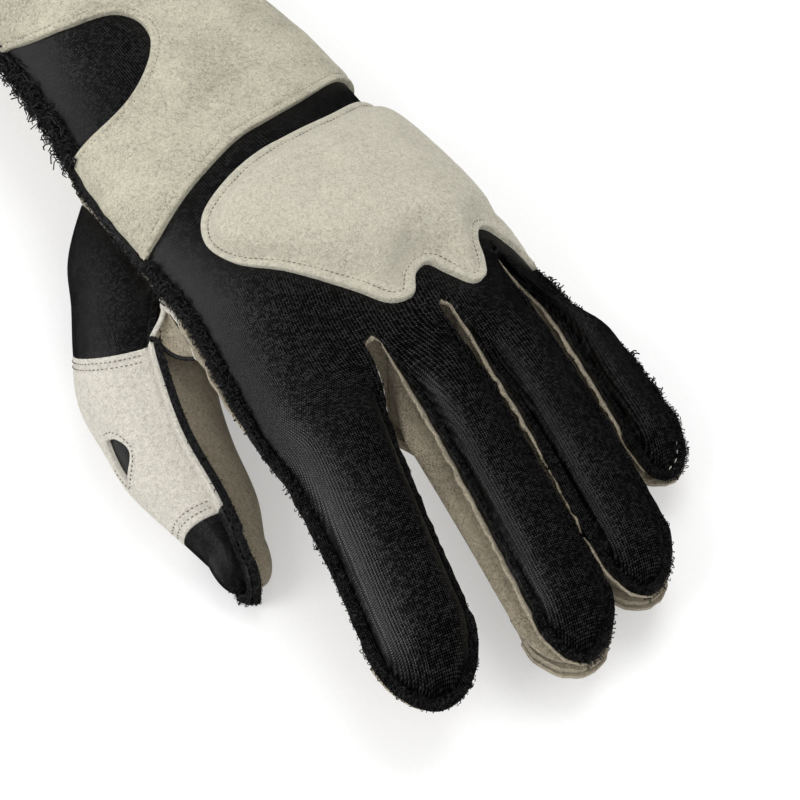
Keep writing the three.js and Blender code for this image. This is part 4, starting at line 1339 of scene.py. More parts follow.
def place_on_points(nodes, given, points, shape, rotation, scale):
    """Ends a tree: puts a shape on each point, as real mesh with the given material."""
    values = {"Points": points, "Instance": shape, "Rotation": rotation, "Scale": scale}
    placed = nodes.out("GeometryNodeInstanceOnPoints", values)
    real = nodes.out("GeometryNodeRealizeInstances", {"Geometry": placed})
    painted = nodes.out("GeometryNodeSetMaterial", {"Geometry": real, "Material": given["Material"]})
    nodes.add("NodeGroupOutput", {"Geometry": painted})


def random_vector(nodes, given, least, most):
    values = {0: least, 1: most, "Seed": given["Seed"]}
    return nodes.out("FunctionNodeRandomValue", values, data_type="FLOAT_VECTOR")


def stitch_tree():
    """Stitches along edge paths: each one a small rounded bar that lies along its path."""
    inputs = {"Pitch": 0.00125, "Length": 0.0009, "Thickness": 0.0003, "Seed": 1}
    tree, nodes, given = new_tree("Stitches", inputs)
    curve = nodes.out("GeometryNodeMeshToCurve", {"Mesh": given["Geometry"]})
    values = {"Curve": curve, "Length": given["Pitch"]}
    spaced = nodes.out("GeometryNodeResampleCurve", values, mode="LENGTH")
    tangent = nodes.out("GeometryNodeInputTangent")
    turned = nodes.out("FunctionNodeAlignRotationToVector", {"Vector": tangent}, axis="X")
    bar = nodes.out("GeometryNodeMeshUVSphere", {"Segments": 6, "Rings": 5, "Radius": 0.5})
    wobble = random_vector(nodes, given, (0.85, 0.8, 0.8), (1.12, 1.15, 1.1))
    size = nodes.vector(X=given["Length"], Y=given["Thickness"], Z=given["Thickness"])
    scale = nodes.out("ShaderNodeVectorMath", {0: size, 1: wobble}, operation="MULTIPLY")
    place_on_points(nodes, given, spaced, bar, turned, scale)
    return tree


def pile_tree():
    """Frayed fibres on a ribbon: each one a thin tapered loop that leaves the face at a random lean."""
    inputs = {
        "Density": 4.0e6, "Length": 0.0014, "Thickness": 0.00011, "Rise": 1.2, "Bend": 0.5, "Return": 0.3,
        "Lean": 0.8, "Seed": 1,
    }
    tree, nodes, given = new_tree("Pile", inputs)
    spread = nodes.add(
        "GeometryNodeDistributePointsOnFaces",
        {"Mesh": given["Geometry"], "Density": given["Density"], "Seed": given["Seed"]},
    ).outputs

    # One fibre of unit length: a bent line, thinner to its end
    middle = nodes.vector(X=0.0, Z=given["Rise"])
    end = nodes.vector(X=given["Bend"], Z=given["Return"])
    values = {"Resolution": 3, "Start": (0, 0, 0), "Middle": middle, "End": end}
    curl = nodes.out("GeometryNodeCurveQuadraticBezier", values)
    share = nodes.out("GeometryNodeSplineParameter")
    taper = nodes.math("SUBTRACT", 1.0, nodes.times(share, 0.6))
    tapered = nodes.out("GeometryNodeSetCurveRadius", {"Curve": curl, "Radius": taper})
    thick = nodes.math("DIVIDE", given["Thickness"], given["Length"])
    ring = nodes.out("GeometryNodeCurvePrimitiveCircle", {"Resolution": 3, "Radius": thick})
    values = {"Curve": tapered, "Profile Curve": ring, "Fill Caps": True}
    fibre = nodes.out("GeometryNodeCurveToMesh", values)

    # Each fibre leans and turns by chance, and only a few are long
    lean = given["Lean"]
    back = nodes.times(lean, -1.0)
    least = nodes.vector(X=back, Y=back, Z=-math.pi)
    most = nodes.vector(X=lean, Y=lean, Z=math.pi)
    turn = nodes.out("FunctionNodeEulerToRotation", {"Euler": random_vector(nodes, given, least, most)})
    values = {"Rotation": spread["Rotation"], "Rotate By": turn}
    turned = nodes.out("FunctionNodeRotateRotation", values, rotation_space="LOCAL")
    size = nodes.add("FunctionNodeRandomValue", {2: 0.0, 3: 1.0, "Seed": given["Seed"]}, data_type="FLOAT")
    few_long = nodes.scaled(nodes.math("POWER", size.outputs[1], 5.0), 1.9, 0.5)
    scale = nodes.times(few_long, given["Length"])
    place_on_points(nodes, given, spread["Points"], fibre, turned, scale)
    return tree


def tree_of(name, maker):
    """A node tree by its name, made when it is first asked for."""
    return bpy.data.node_groups.get(name) or maker()


def run_tree(piece, tree, values):
    """Runs a node tree on a piece with the given inputs, and keeps the result as its mesh."""
    modifier = piece.modifiers.new(tree.name, "NODES")
    modifier.node_group = tree
    for item in tree.interface.items_tree:
        if item.item_type == "SOCKET" and item.in_out == "INPUT" and item.name in values:
            modifier[item.identifier] = values[item.name]
    plain_mesh(piece)
    smooth_faces(piece)


def path_piece(name, lines):
    """An object of bare edges along some lines, in metres."""
    points = np.concatenate(lines)
    edges = []
    first = 0
    for line in lines:
        edges += [(first + k, first + k + 1) for k in range(len(line) - 1)]
        first += len(line)
    return add_object(name, new_mesh(name, points, edges, []))


def sew(name, lines, material, slot, pitch, length, thickness, seed):
    """A piece of stitches along some lines."""
    piece = path_piece(name, lines)
    values = {"Pitch": pitch, "Length": length, "Thickness": thickness, "Seed": seed}
    run_tree(piece, tree_of("Stitches", stitch_tree), {**values, "Material": material_of(material)})
    dress(piece, slot)


def fray(name, ribbons, slot, values):
    """A piece of frayed fibres on some ribbons, each one rows of points in metres."""
    points, faces = [], []
    first = 0
    for ribbon in ribbons:
        rows, columns = ribbon.shape[:2]
        numbers = np.arange(first, first + rows * columns).reshape(rows, columns)
        first += rows * columns
        quads = np.stack((numbers[:-1, :-1], numbers[:-1, 1:], numbers[1:, 1:], numbers[1:, :-1]), -1)
        quads = quads.reshape(-1, 4)
        flat = ribbon.reshape(-1, 3)
        points.append(flat)
        a, b, c = (flat[quads[:, k] - numbers[0, 0]] for k in range(3))
        if np.cross(b - a, c - a)[:, 2].sum() < 0:
            quads = quads[:, ::-1]
        faces += quads.tolist()
    piece = add_object(name, new_mesh(name, np.concatenate(points), [], faces))
    run_tree(piece, tree_of("Pile", pile_tree), {**values, "Material": material_of("pile")})
    dress(piece, slot)


def lines_to_ribbon(lines):
    """A ribbon, in metres, from the lines along it."""
    return stand(np.stack(lines, 1), 0)


def thumb_ribbon(y, corners):
    """A ribbon along the thumb's upper seam and round its tip, through corners of out and deep."""
    turns = np.linspace(0, 180, 30)
    lines = []
    for out, deep in corners:
        leg = thumb_point(1, {"edge": 1, "out": out}, y, deep)
        lines.append(np.concatenate((leg, thumb_place(round_tip(THUMB, 1, turns, out, deep)))))
    return lines_to_ribbon(lines)


def fin_ribbon(finger, y_left, y_right):
    """The outer half of a finger's knitted fin, from y_left round the tip to y_right. Beside a slit it
    lies on the fin's face and leaves the rim bare."""
    digit = FINGERS[finger]
    start = cap_start(digit)
    seams = [is_long_seam(finger, edge) for edge in (-1, 1)]
    trims = [0.0 if seam else KNIT_TRIM[edge] + 0.6 for seam, edge in zip(seams, (-1, 1))]
    left = np.arange(y_left, start, -0.8)
    right = np.arange(start, y_right, 0.8)
    turns = np.linspace(180, 0, 40)
    at_tip = np.where(turns > 90, trims[0], trims[1]) * np.abs(np.cos(np.radians(turns)))
    lines = []
    for share, deep in ((0.4, 0.0), (1.0, 0.25), (1.01, KNIT - 0.5)):
        deeps = [deep if seam else min(deep, 0.25) for seam in seams]
        parts = [
            seam_point(1, finger, -1, left, share * (FIN - trims[0]), deeps[0]),
            round_tip(digit, 1, turns, share * (FIN - at_tip), deep),
            seam_point(1, finger, 1, right, share * (FIN - trims[1]), deeps[1]),
        ]
        lines.append(np.concatenate(parts))
    return lines_to_ribbon(lines)


# Sizes and colours that a user would change


def length_property(name, description, default_mm):
    return bpy.props.FloatProperty(
        name=name, description=description, default=default_mm * MM, unit="LENGTH", precision=5
    )


def colour_property(name, description, default):
    return bpy.props.FloatVectorProperty(
        name=name, description=description, default=default, subtype="COLOR", size=3
    )


class GloveSizes(bpy.types.PropertyGroup):
    """Sizes of the glove's fine detail."""

    rib_pitch: length_property("Rib Pitch", "Distance between the knit's ribs", 0.66)
    loop_pitch: length_property("Loop Pitch", "Length of one loop along a rib", 0.52)
    stitch_pitch: length_property("Stitch Pitch", "Distance between stitches", 1.25)
    thread_width: length_property("Thread Width", "Width of the sewing thread", 0.3)
    pad_swell: length_property("Pad Swell", "The most that the foam pushes the patch up", 0.9)
    pile_length: length_property("Pile Length", "Length of the fibres on the frayed seams", 0.68)
    pile_density: bpy.props.FloatProperty(
        name="Pile Density", description="Fibres for each square millimetre of a frayed edge", default=10.0
    )


class GloveColours(bpy.types.PropertyGroup):
    """Base colours of the glove's cloth and thread."""

    knit: colour_property("Knit", "Colour of the stretch knit", (0.0026, 0.0026, 0.0028))
    suede: colour_property("Suede", "Colour of the suede's outer face", (0.43, 0.408, 0.342))
    # A darker copy of the suede: painted shade on the walls between the fingers, the palm and the gusset
    suede_painted_shade: colour_property(
        "Suede Walls", "Colour of the suede between the fingers and on the palm", (0.33, 0.286, 0.208)
    )
    thread: colour_property("Thread", "Colour of the stitches on the suede", (0.15, 0.135, 0.11))
    pale_thread: colour_property(
        "Pale Thread", "Colour of the pale thread in the fingers' seams", (0.55, 0.53, 0.47)
    )
    pile: colour_property("Pile", "Colour of the frayed fibres", (0.007, 0.007, 0.0075))


# Operators, one for each piece or group of like pieces


class GLOVE_OT_back(bpy.types.Operator):
    """Makes the knitted back of the hand and fingers"""

    bl_idname = "glove.back"
    bl_label = "Knitted Back"

    def execute(self, context):
        piece = hand_panel(1, KNIT, "back_cloth", material_of("knit"))
        cut_away(piece, thumb_hollow())
        dress(piece, "knit", "back_panel")
        return {"FINISHED"}


class GLOVE_OT_palm(bpy.types.Operator):
    """Makes the suede palm"""

    bl_idname = "glove.palm"
    bl_label = "Suede Palm"

    def execute(self, context):
        piece = hand_panel(-1, SUEDE, "palm_cloth", material_of("suede_palm"))
        cut_away(piece, thumb_hollow())
        dress(piece, "suede", "palm_panel")
        return {"FINISHED"}


class GLOVE_OT_walls(bpy.types.Operator):
    """Makes the suede walls between the fingers"""

    bl_idname = "glove.walls"
    bl_label = "Finger Walls"

    def execute(self, context):
        names = ("fourchette_index_middle", "fourchette_middle_ring", "fourchette_ring_little")
        for finger, node in enumerate(names):
            dress(fourchette(finger, material_of("suede_palm")), "suede", node)
        return {"FINISHED"}


class GLOVE_OT_cuff(bpy.types.Operator):
    """Makes the suede cuff with its strap and its opening"""

    bl_idname = "glove.cuff"
    bl_label = "Cuff"

    def execute(self, context):
        lines, outline = cuff_outline()
        sewn = [lines[name] for name in CUFF_SEWN]
        flat, faces = flat_pattern(outline, BORDER_INSETS, 1.5)
        pitch = context.scene.glove_sizes.stitch_pitch / MM

        def outer(points):
            away, reach = distance_to(points, sewn)
            soft = 0.2 * waves(*points.T, 19.0, 4) + 0.06 * waves(*points.T, 7.0, 9)
            return -(GAP + SUEDE + border_height(away, reach, pitch) + soft * smooth(away / 5))

        cloth = material_of("suede_cuff")
        piece = pattern_cloth("cuff_cloth", cloth, flat, faces, on_back, outer, even(-LAYER_GAP))
        dress(piece, "suede", "cuff_panel")
        return {"FINISHED"}


class GLOVE_OT_pad(bpy.types.Operator):
    """Makes the padded knuckle patch: a sewn border round a crown that its foam pushes up"""

    bl_idname = "glove.pad"
    bl_label = "Knuckle Pad"

    def execute(self, context):
        sizes = context.scene.glove_sizes
        outline = pad_outline()
        edge = [back_to_start(outline)]
        flat, faces = flat_pattern(outline, BORDER_INSETS, 1.3)
        pitch = sizes.stitch_pitch / MM

        def outer(points):
            away, reach = distance_to(points, edge)
            return -(GAP + SUEDE + border_height(away, reach, pitch) + pad_height(points, away))

        cloth = material_of("suede_pad")
        piece = pattern_cloth("pad_cloth", cloth, flat, faces, on_back, outer, even(-LAYER_GAP))
        swell(piece, flat[np.unique(faces)], edge, sizes.pad_swell)
        dress(piece, "suede", "knuckle_pad")
        return {"FINISHED"}


# How the patch's cover swells as a simulated cloth: over how many frames, how wide its pinned border is, and
# from where on and over what length its move counts, in millimetres from the edge
SWELL = {"frames": 18, "pinned": 3.0, "start": 2.6, "length": 2.0}
COVER_CLOTH = {
    "quality": 6, "mass": 0.3, "tension_stiffness": 25, "compression_stiffness": 25, "shear_stiffness": 12,
    "bending_stiffness": 3, "shrink_min": -0.012, "use_pressure": True, "uniform_pressure_force": 2.5,
    "vertex_group_mass": "pinned",
}


def swell(piece, flat, edge, most):
    """Lets the patch's cover swell as a simulated cloth pinned at its border, no further than most. The
    cover is the piece's first points, one for each point of its flat pattern."""
    count = len(flat)
    mesh = piece.data
    start = points_in(mesh)
    away, _ = distance_to(flat, edge)
    cover_faces = [tuple(p.vertices) for p in mesh.polygons if max(p.vertices) < count]
    cover = add_object("cover", new_mesh("cover", start[:count], [], cover_faces))
    group = cover.vertex_groups.new(name="pinned")
    group.add(np.flatnonzero(away < SWELL["pinned"]).tolist(), 1.0, "REPLACE")
    settings = cover.modifiers.new("cloth", "CLOTH").settings
    for name, value in COVER_CLOTH.items():
        setattr(settings, name, value)
    settings.effector_weights.gravity = 0
    scene = bpy.context.scene
    for step in range(1, SWELL["frames"] + 1):
        scene.frame_set(step)
    graph = bpy.context.evaluated_depsgraph_get()
    move = points_in(cover.evaluated_get(graph).data) - start[:count]
    scene.frame_set(1)
    bpy.data.objects.remove(cover)
    size = np.maximum(np.linalg.norm(move, axis=1, keepdims=True), 1e-9)
    move *= most * np.tanh(size / most) / size
    start[:count] += move * smooth((away - SWELL["start"]) / SWELL["length"])[:, None]
    mesh.vertices.foreach_set("co", start.ravel())
    mesh.update()


def thumb_place(point):
    """Turns the thumb's own frame into the hand's: it stands on its side."""
    return np.stack((-point[..., 2], point[..., 1], point[..., 0]), -1)


def knit_edge(across):
    return THUMB_KNIT_EDGE["middle"] + THUMB_KNIT_EDGE["slope"] * across


def thumb_across(column):
    return arch_share(column["arch"]) if "arch" in column else column["edge"]


def thumb_point(side, column, y, deep, fin_deep=None):
    """A point of the thumb's cloth, in the hand's frame."""
    if "arch" in column:
        return thumb_place(crown(THUMB, side, thumb_across(column), y, deep))
    deep = deep if fin_deep is None else fin_deep
    point = beside(THUMB, side, column["edge"], y, column["out"], deep)
    point[..., 2] -= fin_lift(point[..., 0], point[..., 1], column["out"])
    return thumb_place(point)


def thumb_weave(point):
    """Where a point of the thumb lies in its cloth, whose ribs run along the thumb."""
    return np.stack(((point[..., 0] + point[..., 2]) * ROUND_SHARE, point[..., 1]), -1)


def thumb_panel(name, material, side, thick, start, end, rows, with_tip=False, reach=1.0, fin_thick=None):
    """A panel of the thumb between two lines across it, closed by the round tip if it ends there. reach
    is the length of its upper fin, as a share of the full one."""
    cloth = Cloth()
    columns = digit_columns("thumb")
    for column in columns:
        if column.get("edge") == 1:
            column["rim"] = is_rim(column)
            column["out"] *= reach
    fin_thick = fin_thick or thick
    shares = np.linspace(0, 1, rows + 1)
    outer, inner, weave = [], [], []
    for column in columns:
        y = mix(start(thumb_across(column)), end(thumb_across(column)), shares)
        rim = 0.3 if column.get("rim") or is_rim(column) else 0.0
        outer.append(stand(thumb_point(side, column, y, rim), 0))
        inner.append(stand(thumb_point(side, column, y, thick, fin_thick - rim / 2), thick))
        weave.append(thumb_weave(thumb_point(side, column, y, rim)))
    made = cloth.add(*(np.stack(part, 1) for part in (outer, inner, weave)))
    cloth.grid(made[::-1])
    if with_tip:
        add_round_tip(cloth, THUMB, side, thick, made[-1], columns, thumb_weave, thumb_place)
    return cloth.make(name, material)


def closed_tube(name, rings, material=None):
    """A closed shape from rings of points, with a fan over each end."""
    rings = np.array(rings)
    count = rings.shape[1]
    points = np.concatenate((rings.reshape(-1, 3), rings[:1].mean(1), rings[-1:].mean(1)))
    faces = []
    for row in range(len(rings) - 1):
        for k in range(count):
            a, b = row * count + k, row * count + (k + 1) % count
            faces.append((a, b, b + count, a + count))
    last = (len(rings) - 1) * count
    for k in range(count):
        faces.append(((k + 1) % count, k, len(points) - 2))
        faces.append((last + k, last + (k + 1) % count, len(points) - 1))
    return solid_piece(name, points, faces, material or material_of("knit"))


def tube_along(name, line, radius, material):
    """A round closed tube along a line, in metres."""
    heading = headings(line)
    level = np.cross(heading, (0.0, 0.0, 1.0))
    level /= np.linalg.norm(level, axis=1, keepdims=True)
    above = np.cross(level, heading)
    turn = np.linspace(0, 2 * math.pi, 11)[:-1, None]
    rings = line[:, None] + radius * (np.cos(turn) * level[:, None] + np.sin(turn) * above[:, None])
    return closed_tube(name, rings, material)


def thumb_hollow():
    """The hollow inside the thumb where it opens into the hand, as a cutter."""
    inside = [column for column in digit_columns("thumb") if "arch" in column]
    rings = []
    for y in np.linspace(THUMB_HOLLOW["start"], THUMB_HOLLOW["end"], THUMB_HOLLOW["rows"]):
        near = [thumb_point(1, column, y, KNIT) for column in inside]
        far = [thumb_point(-1, column, y, SUEDE) for column in reversed(inside)]
        rings.append(stand(np.array(near + far)))
    return closed_tube("thumb_hollow", rings)


def hand_volume(grow):
    """The hand's whole volume, fins and all, as a cutter."""
    columns = hand_columns()
    steps = np.append(np.linspace(0, 1, HAND_ROWS // 2) ** HAND_ROW_BIAS, 1.05)
    sides = []
    for side, order in ((1, columns), (-1, columns[::-1])):
        for column in order:
            y = hand_row_y(side, column, steps)
            sides.append(stand(column_point(side, column, y, -grow)))
    return closed_tube("hand_volume", np.stack(sides, 1))


def on_thumb(flat, deep):
    """Places points of the thumb's flat pattern, in millimetres round it and along it, on its back."""
    half = THUMB_ARC / 2
    arch = np.clip(flat[:, 0] / half, -1, 1)
    out = np.maximum(np.abs(flat[:, 0]) - half, 0)
    on_crown = crown(THUMB, 1, np.sin(arch * math.pi / 2), flat[:, 1], deep)
    left = beside(THUMB, 1, -1, flat[:, 1], out, deep)
    right = beside(THUMB, 1, 1, flat[:, 1], out, deep)
    fins = np.where((flat[:, 0] < 0)[:, None], left, right)
    fins[:, 2] -= fin_lift(fins[:, 0], fins[:, 1], out)
    return stand(thumb_place(np.where((out > 1e-9)[:, None], fins, on_crown)), 0)


def window_outline(margin=0.0):
    """The window's outline in the thumb's flat pattern, grown by a margin."""
    line = np.concatenate((spline(WINDOW_INNER, 0.7)[:-1], spline(WINDOW_OUTER, 0.7)[:-1]))
    middle = line.mean(0)
    away = line - middle
    size = np.linalg.norm(away, axis=1, keepdims=True)
    return middle + away * (size + margin) / size


class GLOVE_OT_thumb(bpy.types.Operator):
    """Makes the thumb: knitted base and tip, suede back with a window, and suede palm side"""

    bl_idname = "glove.thumb"
    bl_label = "Thumb"

    def execute(self, context):
        self.make_base()
        self.make_back(context.scene.glove_sizes.stitch_pitch / MM)
        self.make_window_cloth()
        self.make_tip()
        self.make_palm_side()
        self.make_binding()
        self.make_gusset()
        return {"FINISHED"}

    def make_binding(self):
        """The black edge that stands between the thumb's two panels, round its tip."""
        near, far, top, low = (THUMB_BINDING[name] for name in ("near", "far", "top", "low"))
        down = np.arange(THUMB_BINDING["start"], cap_start(THUMB), -1.0)
        turns = np.linspace(0, 180, 30)
        lines = []
        for out, deep in ((near, top), (far, top), (far, low), (near, low)):
            upper_leg = thumb_point(1, {"edge": 1, "out": out}, down, deep)
            lower_leg = thumb_point(1, {"edge": -1, "out": out}, down[::-1], deep)
            tip = thumb_place(round_tip(THUMB, 1, turns, out, deep))
            lines.append(np.concatenate((upper_leg, tip, lower_leg)))
        dress(closed_tube("thumb_binding", lines_to_ribbon(lines), material_of("pile")), "knit")

    def make_gusset(self):
        """The small suede patch in the crotch between the thumb and the hand, and its black piping."""
        top, low, front, sag = (np.array(GUSSET[name]) for name in ("top", "low", "front", "sag"))
        cloth = Cloth()
        rows = []
        across = np.linspace(0, 1, 13)[:, None]
        for share in np.linspace(0, 1, 15):
            start = mix(top, low, share) + (GUSSET["bow"] * math.sin(math.pi * share), 0, 0)
            outer = mix(start, mix(top, front, share), across) - np.sin(across * math.pi) * share * sag
            rim = 0.45 * np.exp(-((across[:, 0] * 9) ** 2)) + 0.3 * np.exp(-(((1 - share) * 9) ** 2))
            outer[:, 2] += rim
            inner = outer - (0, 0, 1.0) - (0, 0, 0.2) * rim[:, None]
            rows.append(cloth.add(stand(outer), stand(inner), outer[:, :2]))
        cloth.grid(rows)
        dress(cloth.make("thumb_gusset", material_of("suede_palm")), "suede")

        across = np.linspace(-0.04, 1.04, 24)[:, None]
        bulge = np.sin(np.clip(across, 0, 1) * math.pi)
        line = mix(low, front, across) - bulge * sag + (0, -0.4, 0.1)
        dress(tube_along("gusset_piping", stand(line), GUSSET["piping"] * MM, material_of("pile")), "knit")
        rims = (("gusset_outer_rim", low, GUSSET["bow"]), ("gusset_inner_rim", front, 0.5))
        for name, start, bow in rims:
            line = mix(start, top, across) + bulge * np.array((bow, 0, 0.4))
            line = line + 0.25 * waves(across, across * 0, 0.35, 4) + (0, 0, GUSSET["rim"] * 0.7)
            dress(tube_along(name, stand(line), GUSSET["rim"] * MM, material_of("suede_thumb")), "suede")

    def make_base(self):
        piece = thumb_panel(
            "thumb_base_cloth", material_of("knit"), 1, KNIT, lambda a: THUMB_START_Y, knit_edge, 34
        )
        cut_away(piece, hand_volume(GAP))
        dress(piece, "knit", "thumb_base_panel")

    def make_back(self, pitch):
        half = THUMB_ARC / 2
        across = np.linspace(-1, 1, 50)
        left, right = -half - FIN, half + FIN
        top = np.stack((across * half, knit_edge(np.sin(across * math.pi / 2)) + THUMB_EDGE), -1)
        top = np.array([(left, top[0][1]), *top, (right, top[-1][1])])
        hem = np.array([(left, THUMB_CAP_Y), (right, THUMB_CAP_Y)], float)
        outline = evenly(np.concatenate((top, hem[::-1], top[:1])), 1.1)[:-1]
        window = window_outline()
        sewn = [top, evenly(hem, 1.0), back_to_start(window)]
        sides = [np.array([(x, top[0][1]), (x, THUMB_CAP_Y)]) for x in (left, right)]
        flat, faces = flat_pattern(outline, THUMB_BORDER_INSETS, 1.4, [window])

        def outer(points):
            away, reach = distance_to(points, sewn)
            to_side, _ = distance_to(points, sides)
            return -(0.15 + 0.7 * border_height(away, reach, pitch)) + 0.3 * (to_side < 0.2)

        def inner(points):
            return np.where(np.abs(points[:, 0]) > half, THUMB_FIN_THICK, SUEDE - 0.2)

        cloth = material_of("suede_thumb")
        piece = pattern_cloth("thumb_back_cloth", cloth, flat, faces, on_thumb, outer, inner)
        dress(piece, "suede", "thumb_back_panel")

    def make_window_cloth(self):
        outline = window_outline(WINDOW_MARGIN)
        flat, faces = flat_pattern(outline, (0, 0.5), 1.4)
        cloth = material_of("knit")
        low = SUEDE + KNIT * 0.7
        piece = pattern_cloth("window_cloth", cloth, flat, faces, on_thumb, even(SUEDE), even(low))
        dress(piece, "knit", "thumb_inset")

    def make_tip(self):
        piece = thumb_panel(
            "thumb_tip_cloth", material_of("knit"), 1, KNIT, lambda a: THUMB_CAP_Y - 0.1,
            lambda a: cap_start(THUMB), 8, with_tip=True,
        )
        dress(piece, "knit", "thumb_tip_cap")

    def make_palm_side(self):
        piece = thumb_panel(
            "thumb_palm_cloth", material_of("suede_thumb_palm"), -1, SUEDE, lambda a: THUMB_START_Y,
            lambda a: cap_start(THUMB), 70, with_tip=True, reach=0.25, fin_thick=0.8,
        )
        cut_away(piece, hand_volume(GAP))
        dress(piece, "suede", "thumb_palm_panel")


class GLOVE_OT_stitches(bpy.types.Operator):
    """Sews the borders of the pad, the cuff, the thumb and the little finger"""

    bl_idname = "glove.stitches"
    bl_label = "Stitches"

    def execute(self, context):
        sizes = context.scene.glove_sizes
        pitch, width = sizes.stitch_pitch, sizes.thread_width
        lines, outline = cuff_outline()
        height = GAP + SUEDE - STITCH_DEPTH
        paths = []
        for name in CUFF_SEWN:
            line = inset_line(lines[name], STITCH_INSET, outline)
            paths.append(on_back(line, -height))
        sew("cuff_stitches", paths, "cuff_thread", "suede", pitch, pitch * 0.66, width, 3)
        pad = pad_outline()
        line = inset_line(np.concatenate((pad, pad[:2])), STITCH_INSET, pad)
        top = np.array([(across * BACK_ARC, y) for across, y in PAD_OUTLINE[1:7]])
        second = inset_line(spline(top, 1.0), SECOND_STITCH_INSET, pad)
        paths = [on_back(line, -height), on_back(second, -height - SECOND_STITCH_LIFT)]
        sew("pad_stitches", paths, "thread", "suede", pitch, pitch * 0.66, width, 5)
        paths = [on_thumb(line, -0.2) for line in thumb_stitch_lines()]
        sew("thumb_stitches", paths, "thread", "suede", pitch * 0.9, pitch * 0.5, width, 7)
        turns = np.linspace(8, 84, 30)
        paths = [stand(round_tip(FINGERS[3], 1, turns, 0.35, -0.12), 0)]
        sew("little_finger_stitches", paths, "pale_thread", "knit", 2.4 * MM, 1.5 * MM, 0.3 * MM, 9)
        paths = []
        for finger, start, end in ((0, -5.0, -30.0), (1, -2.0, -38.0), (2, 9.0, -22.0)):
            y = np.arange(start, end, -1.0)
            paths.append(stand(seam_point(1, finger, 1, y, FIN + 0.2, KNIT + 0.1), 0))
        sew("slit_threads", paths, "pale_thread", "suede", 2.0 * MM, 2.1 * MM, 0.26 * MM, 10)
        return {"FINISHED"}


def thumb_stitch_lines():
    """The thumb's stitch lines in its flat pattern: top edge, inner rim, hem and window."""
    half = THUMB_ARC / 2
    across = np.linspace(-0.98, 0.93, 50)
    lines = []
    for inset in THUMB_STITCH_ROWS:
        y = knit_edge(np.sin(across * math.pi / 2)) + THUMB_EDGE - inset
        lines.append(np.stack((across * half, y), -1))
        lines.append(np.array([(-4.0, THUMB_CAP_Y + inset), (half - 1.5, THUMB_CAP_Y + inset)]))
    lines.append(window_outline(1.5)[3:-8])
    return [evenly(line, 0.8) for line in lines]


class GLOVE_OT_pile(bpy.types.Operator):
    """Frays the raw edges of the knit"""

    bl_idname = "glove.pile"
    bl_label = "Frayed Seams"

    def execute(self, context):
        sizes = context.scene.glove_sizes
        size = sizes.pile_length
        fine = {"Density": sizes.pile_density / MM**2, "Length": size, "Thickness": 0.055 * MM, "Lean": 0.9}
        ends = [(-6, -6), (-2, 0), (3, 8), (14, 20)]
        for finger, digit in enumerate(FINGERS):
            ribbon = fin_ribbon(finger, *ends[finger])
            fray(digit["name"] + "_pile", [ribbon], "knit", {**fine, "Seed": 11 + finger})

        # The hand's seam on the thumb's side, in bands along y
        loops = {"Thickness": 0.09 * MM, "Bend": 1.0, "Return": 0.0, "Rise": 0.9}
        side = {"Length": size * 1.2, "Thickness": 0.07 * MM, "Seed": 21}
        crotch = {**loops, "Length": size * 1.35, "Seed": 22}
        strap_end = {**loops, "Length": size * 0.8, "Seed": 26}
        cuff_seam = {**loops, "Length": size * 2.2, "Seed": 23}
        full = ((0.4, 0.0), (1.6, -0.1), (FIN + 0.1, 0.1), (FIN + 0.2, KNIT))
        rim = ((FIN - 0.1, 0.6), (FIN + 0.1, 1.0), (FIN + 0.1, KNIT))
        high = ((-0.4, -0.6), (1.2, -0.8), (FIN + 0.4, 0.0), (FIN + 0.4, KNIT))
        bands = (
            ("thumb_side_pile", -6, 20, full, side),
            ("crotch_pile", 20, 42, full, crotch),
            ("strap_end_pile", 42, 78, rim, strap_end),
            ("cuff_seam_pile", 78, MOUTH_Y - 1, high, cuff_seam),
        )
        for name, start, end, corners, values in bands:
            y = np.arange(start, end, 0.8)
            ribbon = lines_to_ribbon([hand_seam(1, -1, y, out, deep) for out, deep in corners])
            fray(name, [ribbon], "knit", {**fine, **values})

        # The thumb's black edge and its knitted tip, and the little finger's outer edge
        far, top, low = (THUMB_BINDING[name] for name in ("far", "top", "low"))
        down = np.arange(THUMB_BINDING["start"], cap_start(THUMB), -0.8)
        cap = np.arange(THUMB_CAP_Y - 1, cap_start(THUMB), -0.8)
        ribbons = [
            thumb_ribbon(down, [(far, deep) for deep in (top, (top + low) / 2, low)]),
            thumb_ribbon(cap, [(0.9, -0.1), (FIN, -0.1)]),
        ]
        fray("thumb_pile", ribbons, "knit", {**fine, "Length": size * 0.8, "Seed": 25})
        y = np.arange(6, -36, -0.8)
        corners = ((-0.6, 0.0), (0.0, 0.2), (0.05, 1.2))
        ribbon = lines_to_ribbon([seam_point(1, 3, 1, y, FIN + out, deep) for out, deep in corners])
        spikes = {"Length": size * 1.5, "Thickness": 0.09 * MM, "Bend": 0.5, "Return": 0.7, "Rise": 0.7}
        fray("little_edge_pile", [ribbon], "knit", {**fine, **spikes, "Seed": 27})
        return {"FINISHED"}


# The stage. Each light has a name, a place in metres, a disk's size, a power in watts, and whether it makes
# the highlights: they come from the gleam alone, and the soft light from the others.
FLOOR = {"reach": 4.0, "grey": (0.54, 0.56), "glow": 0.38}
WORLD_STRENGTH = 0.7
LIGHTS = (
    ("key", (0.5, 0.4, 1.1), 1.0, 8.5, False),
    ("left", (-0.95, 0.0, 0.7), 0.8, 8.5, False),
    ("gleam", (-1.05, 0.32, 0.38), 0.7, 9.0, True),
    ("front", (-0.1, -0.9, 0.9), 0.9, 2.0, False),
)

# The photograph's camera: its turn and height in degrees, its distance in metres and its scale
CAMERA = {"azimuth": -29, "elevation": 57, "distance": 0.65, "pixels_for_each_mm": 4.2, "frame_pixels": 800}


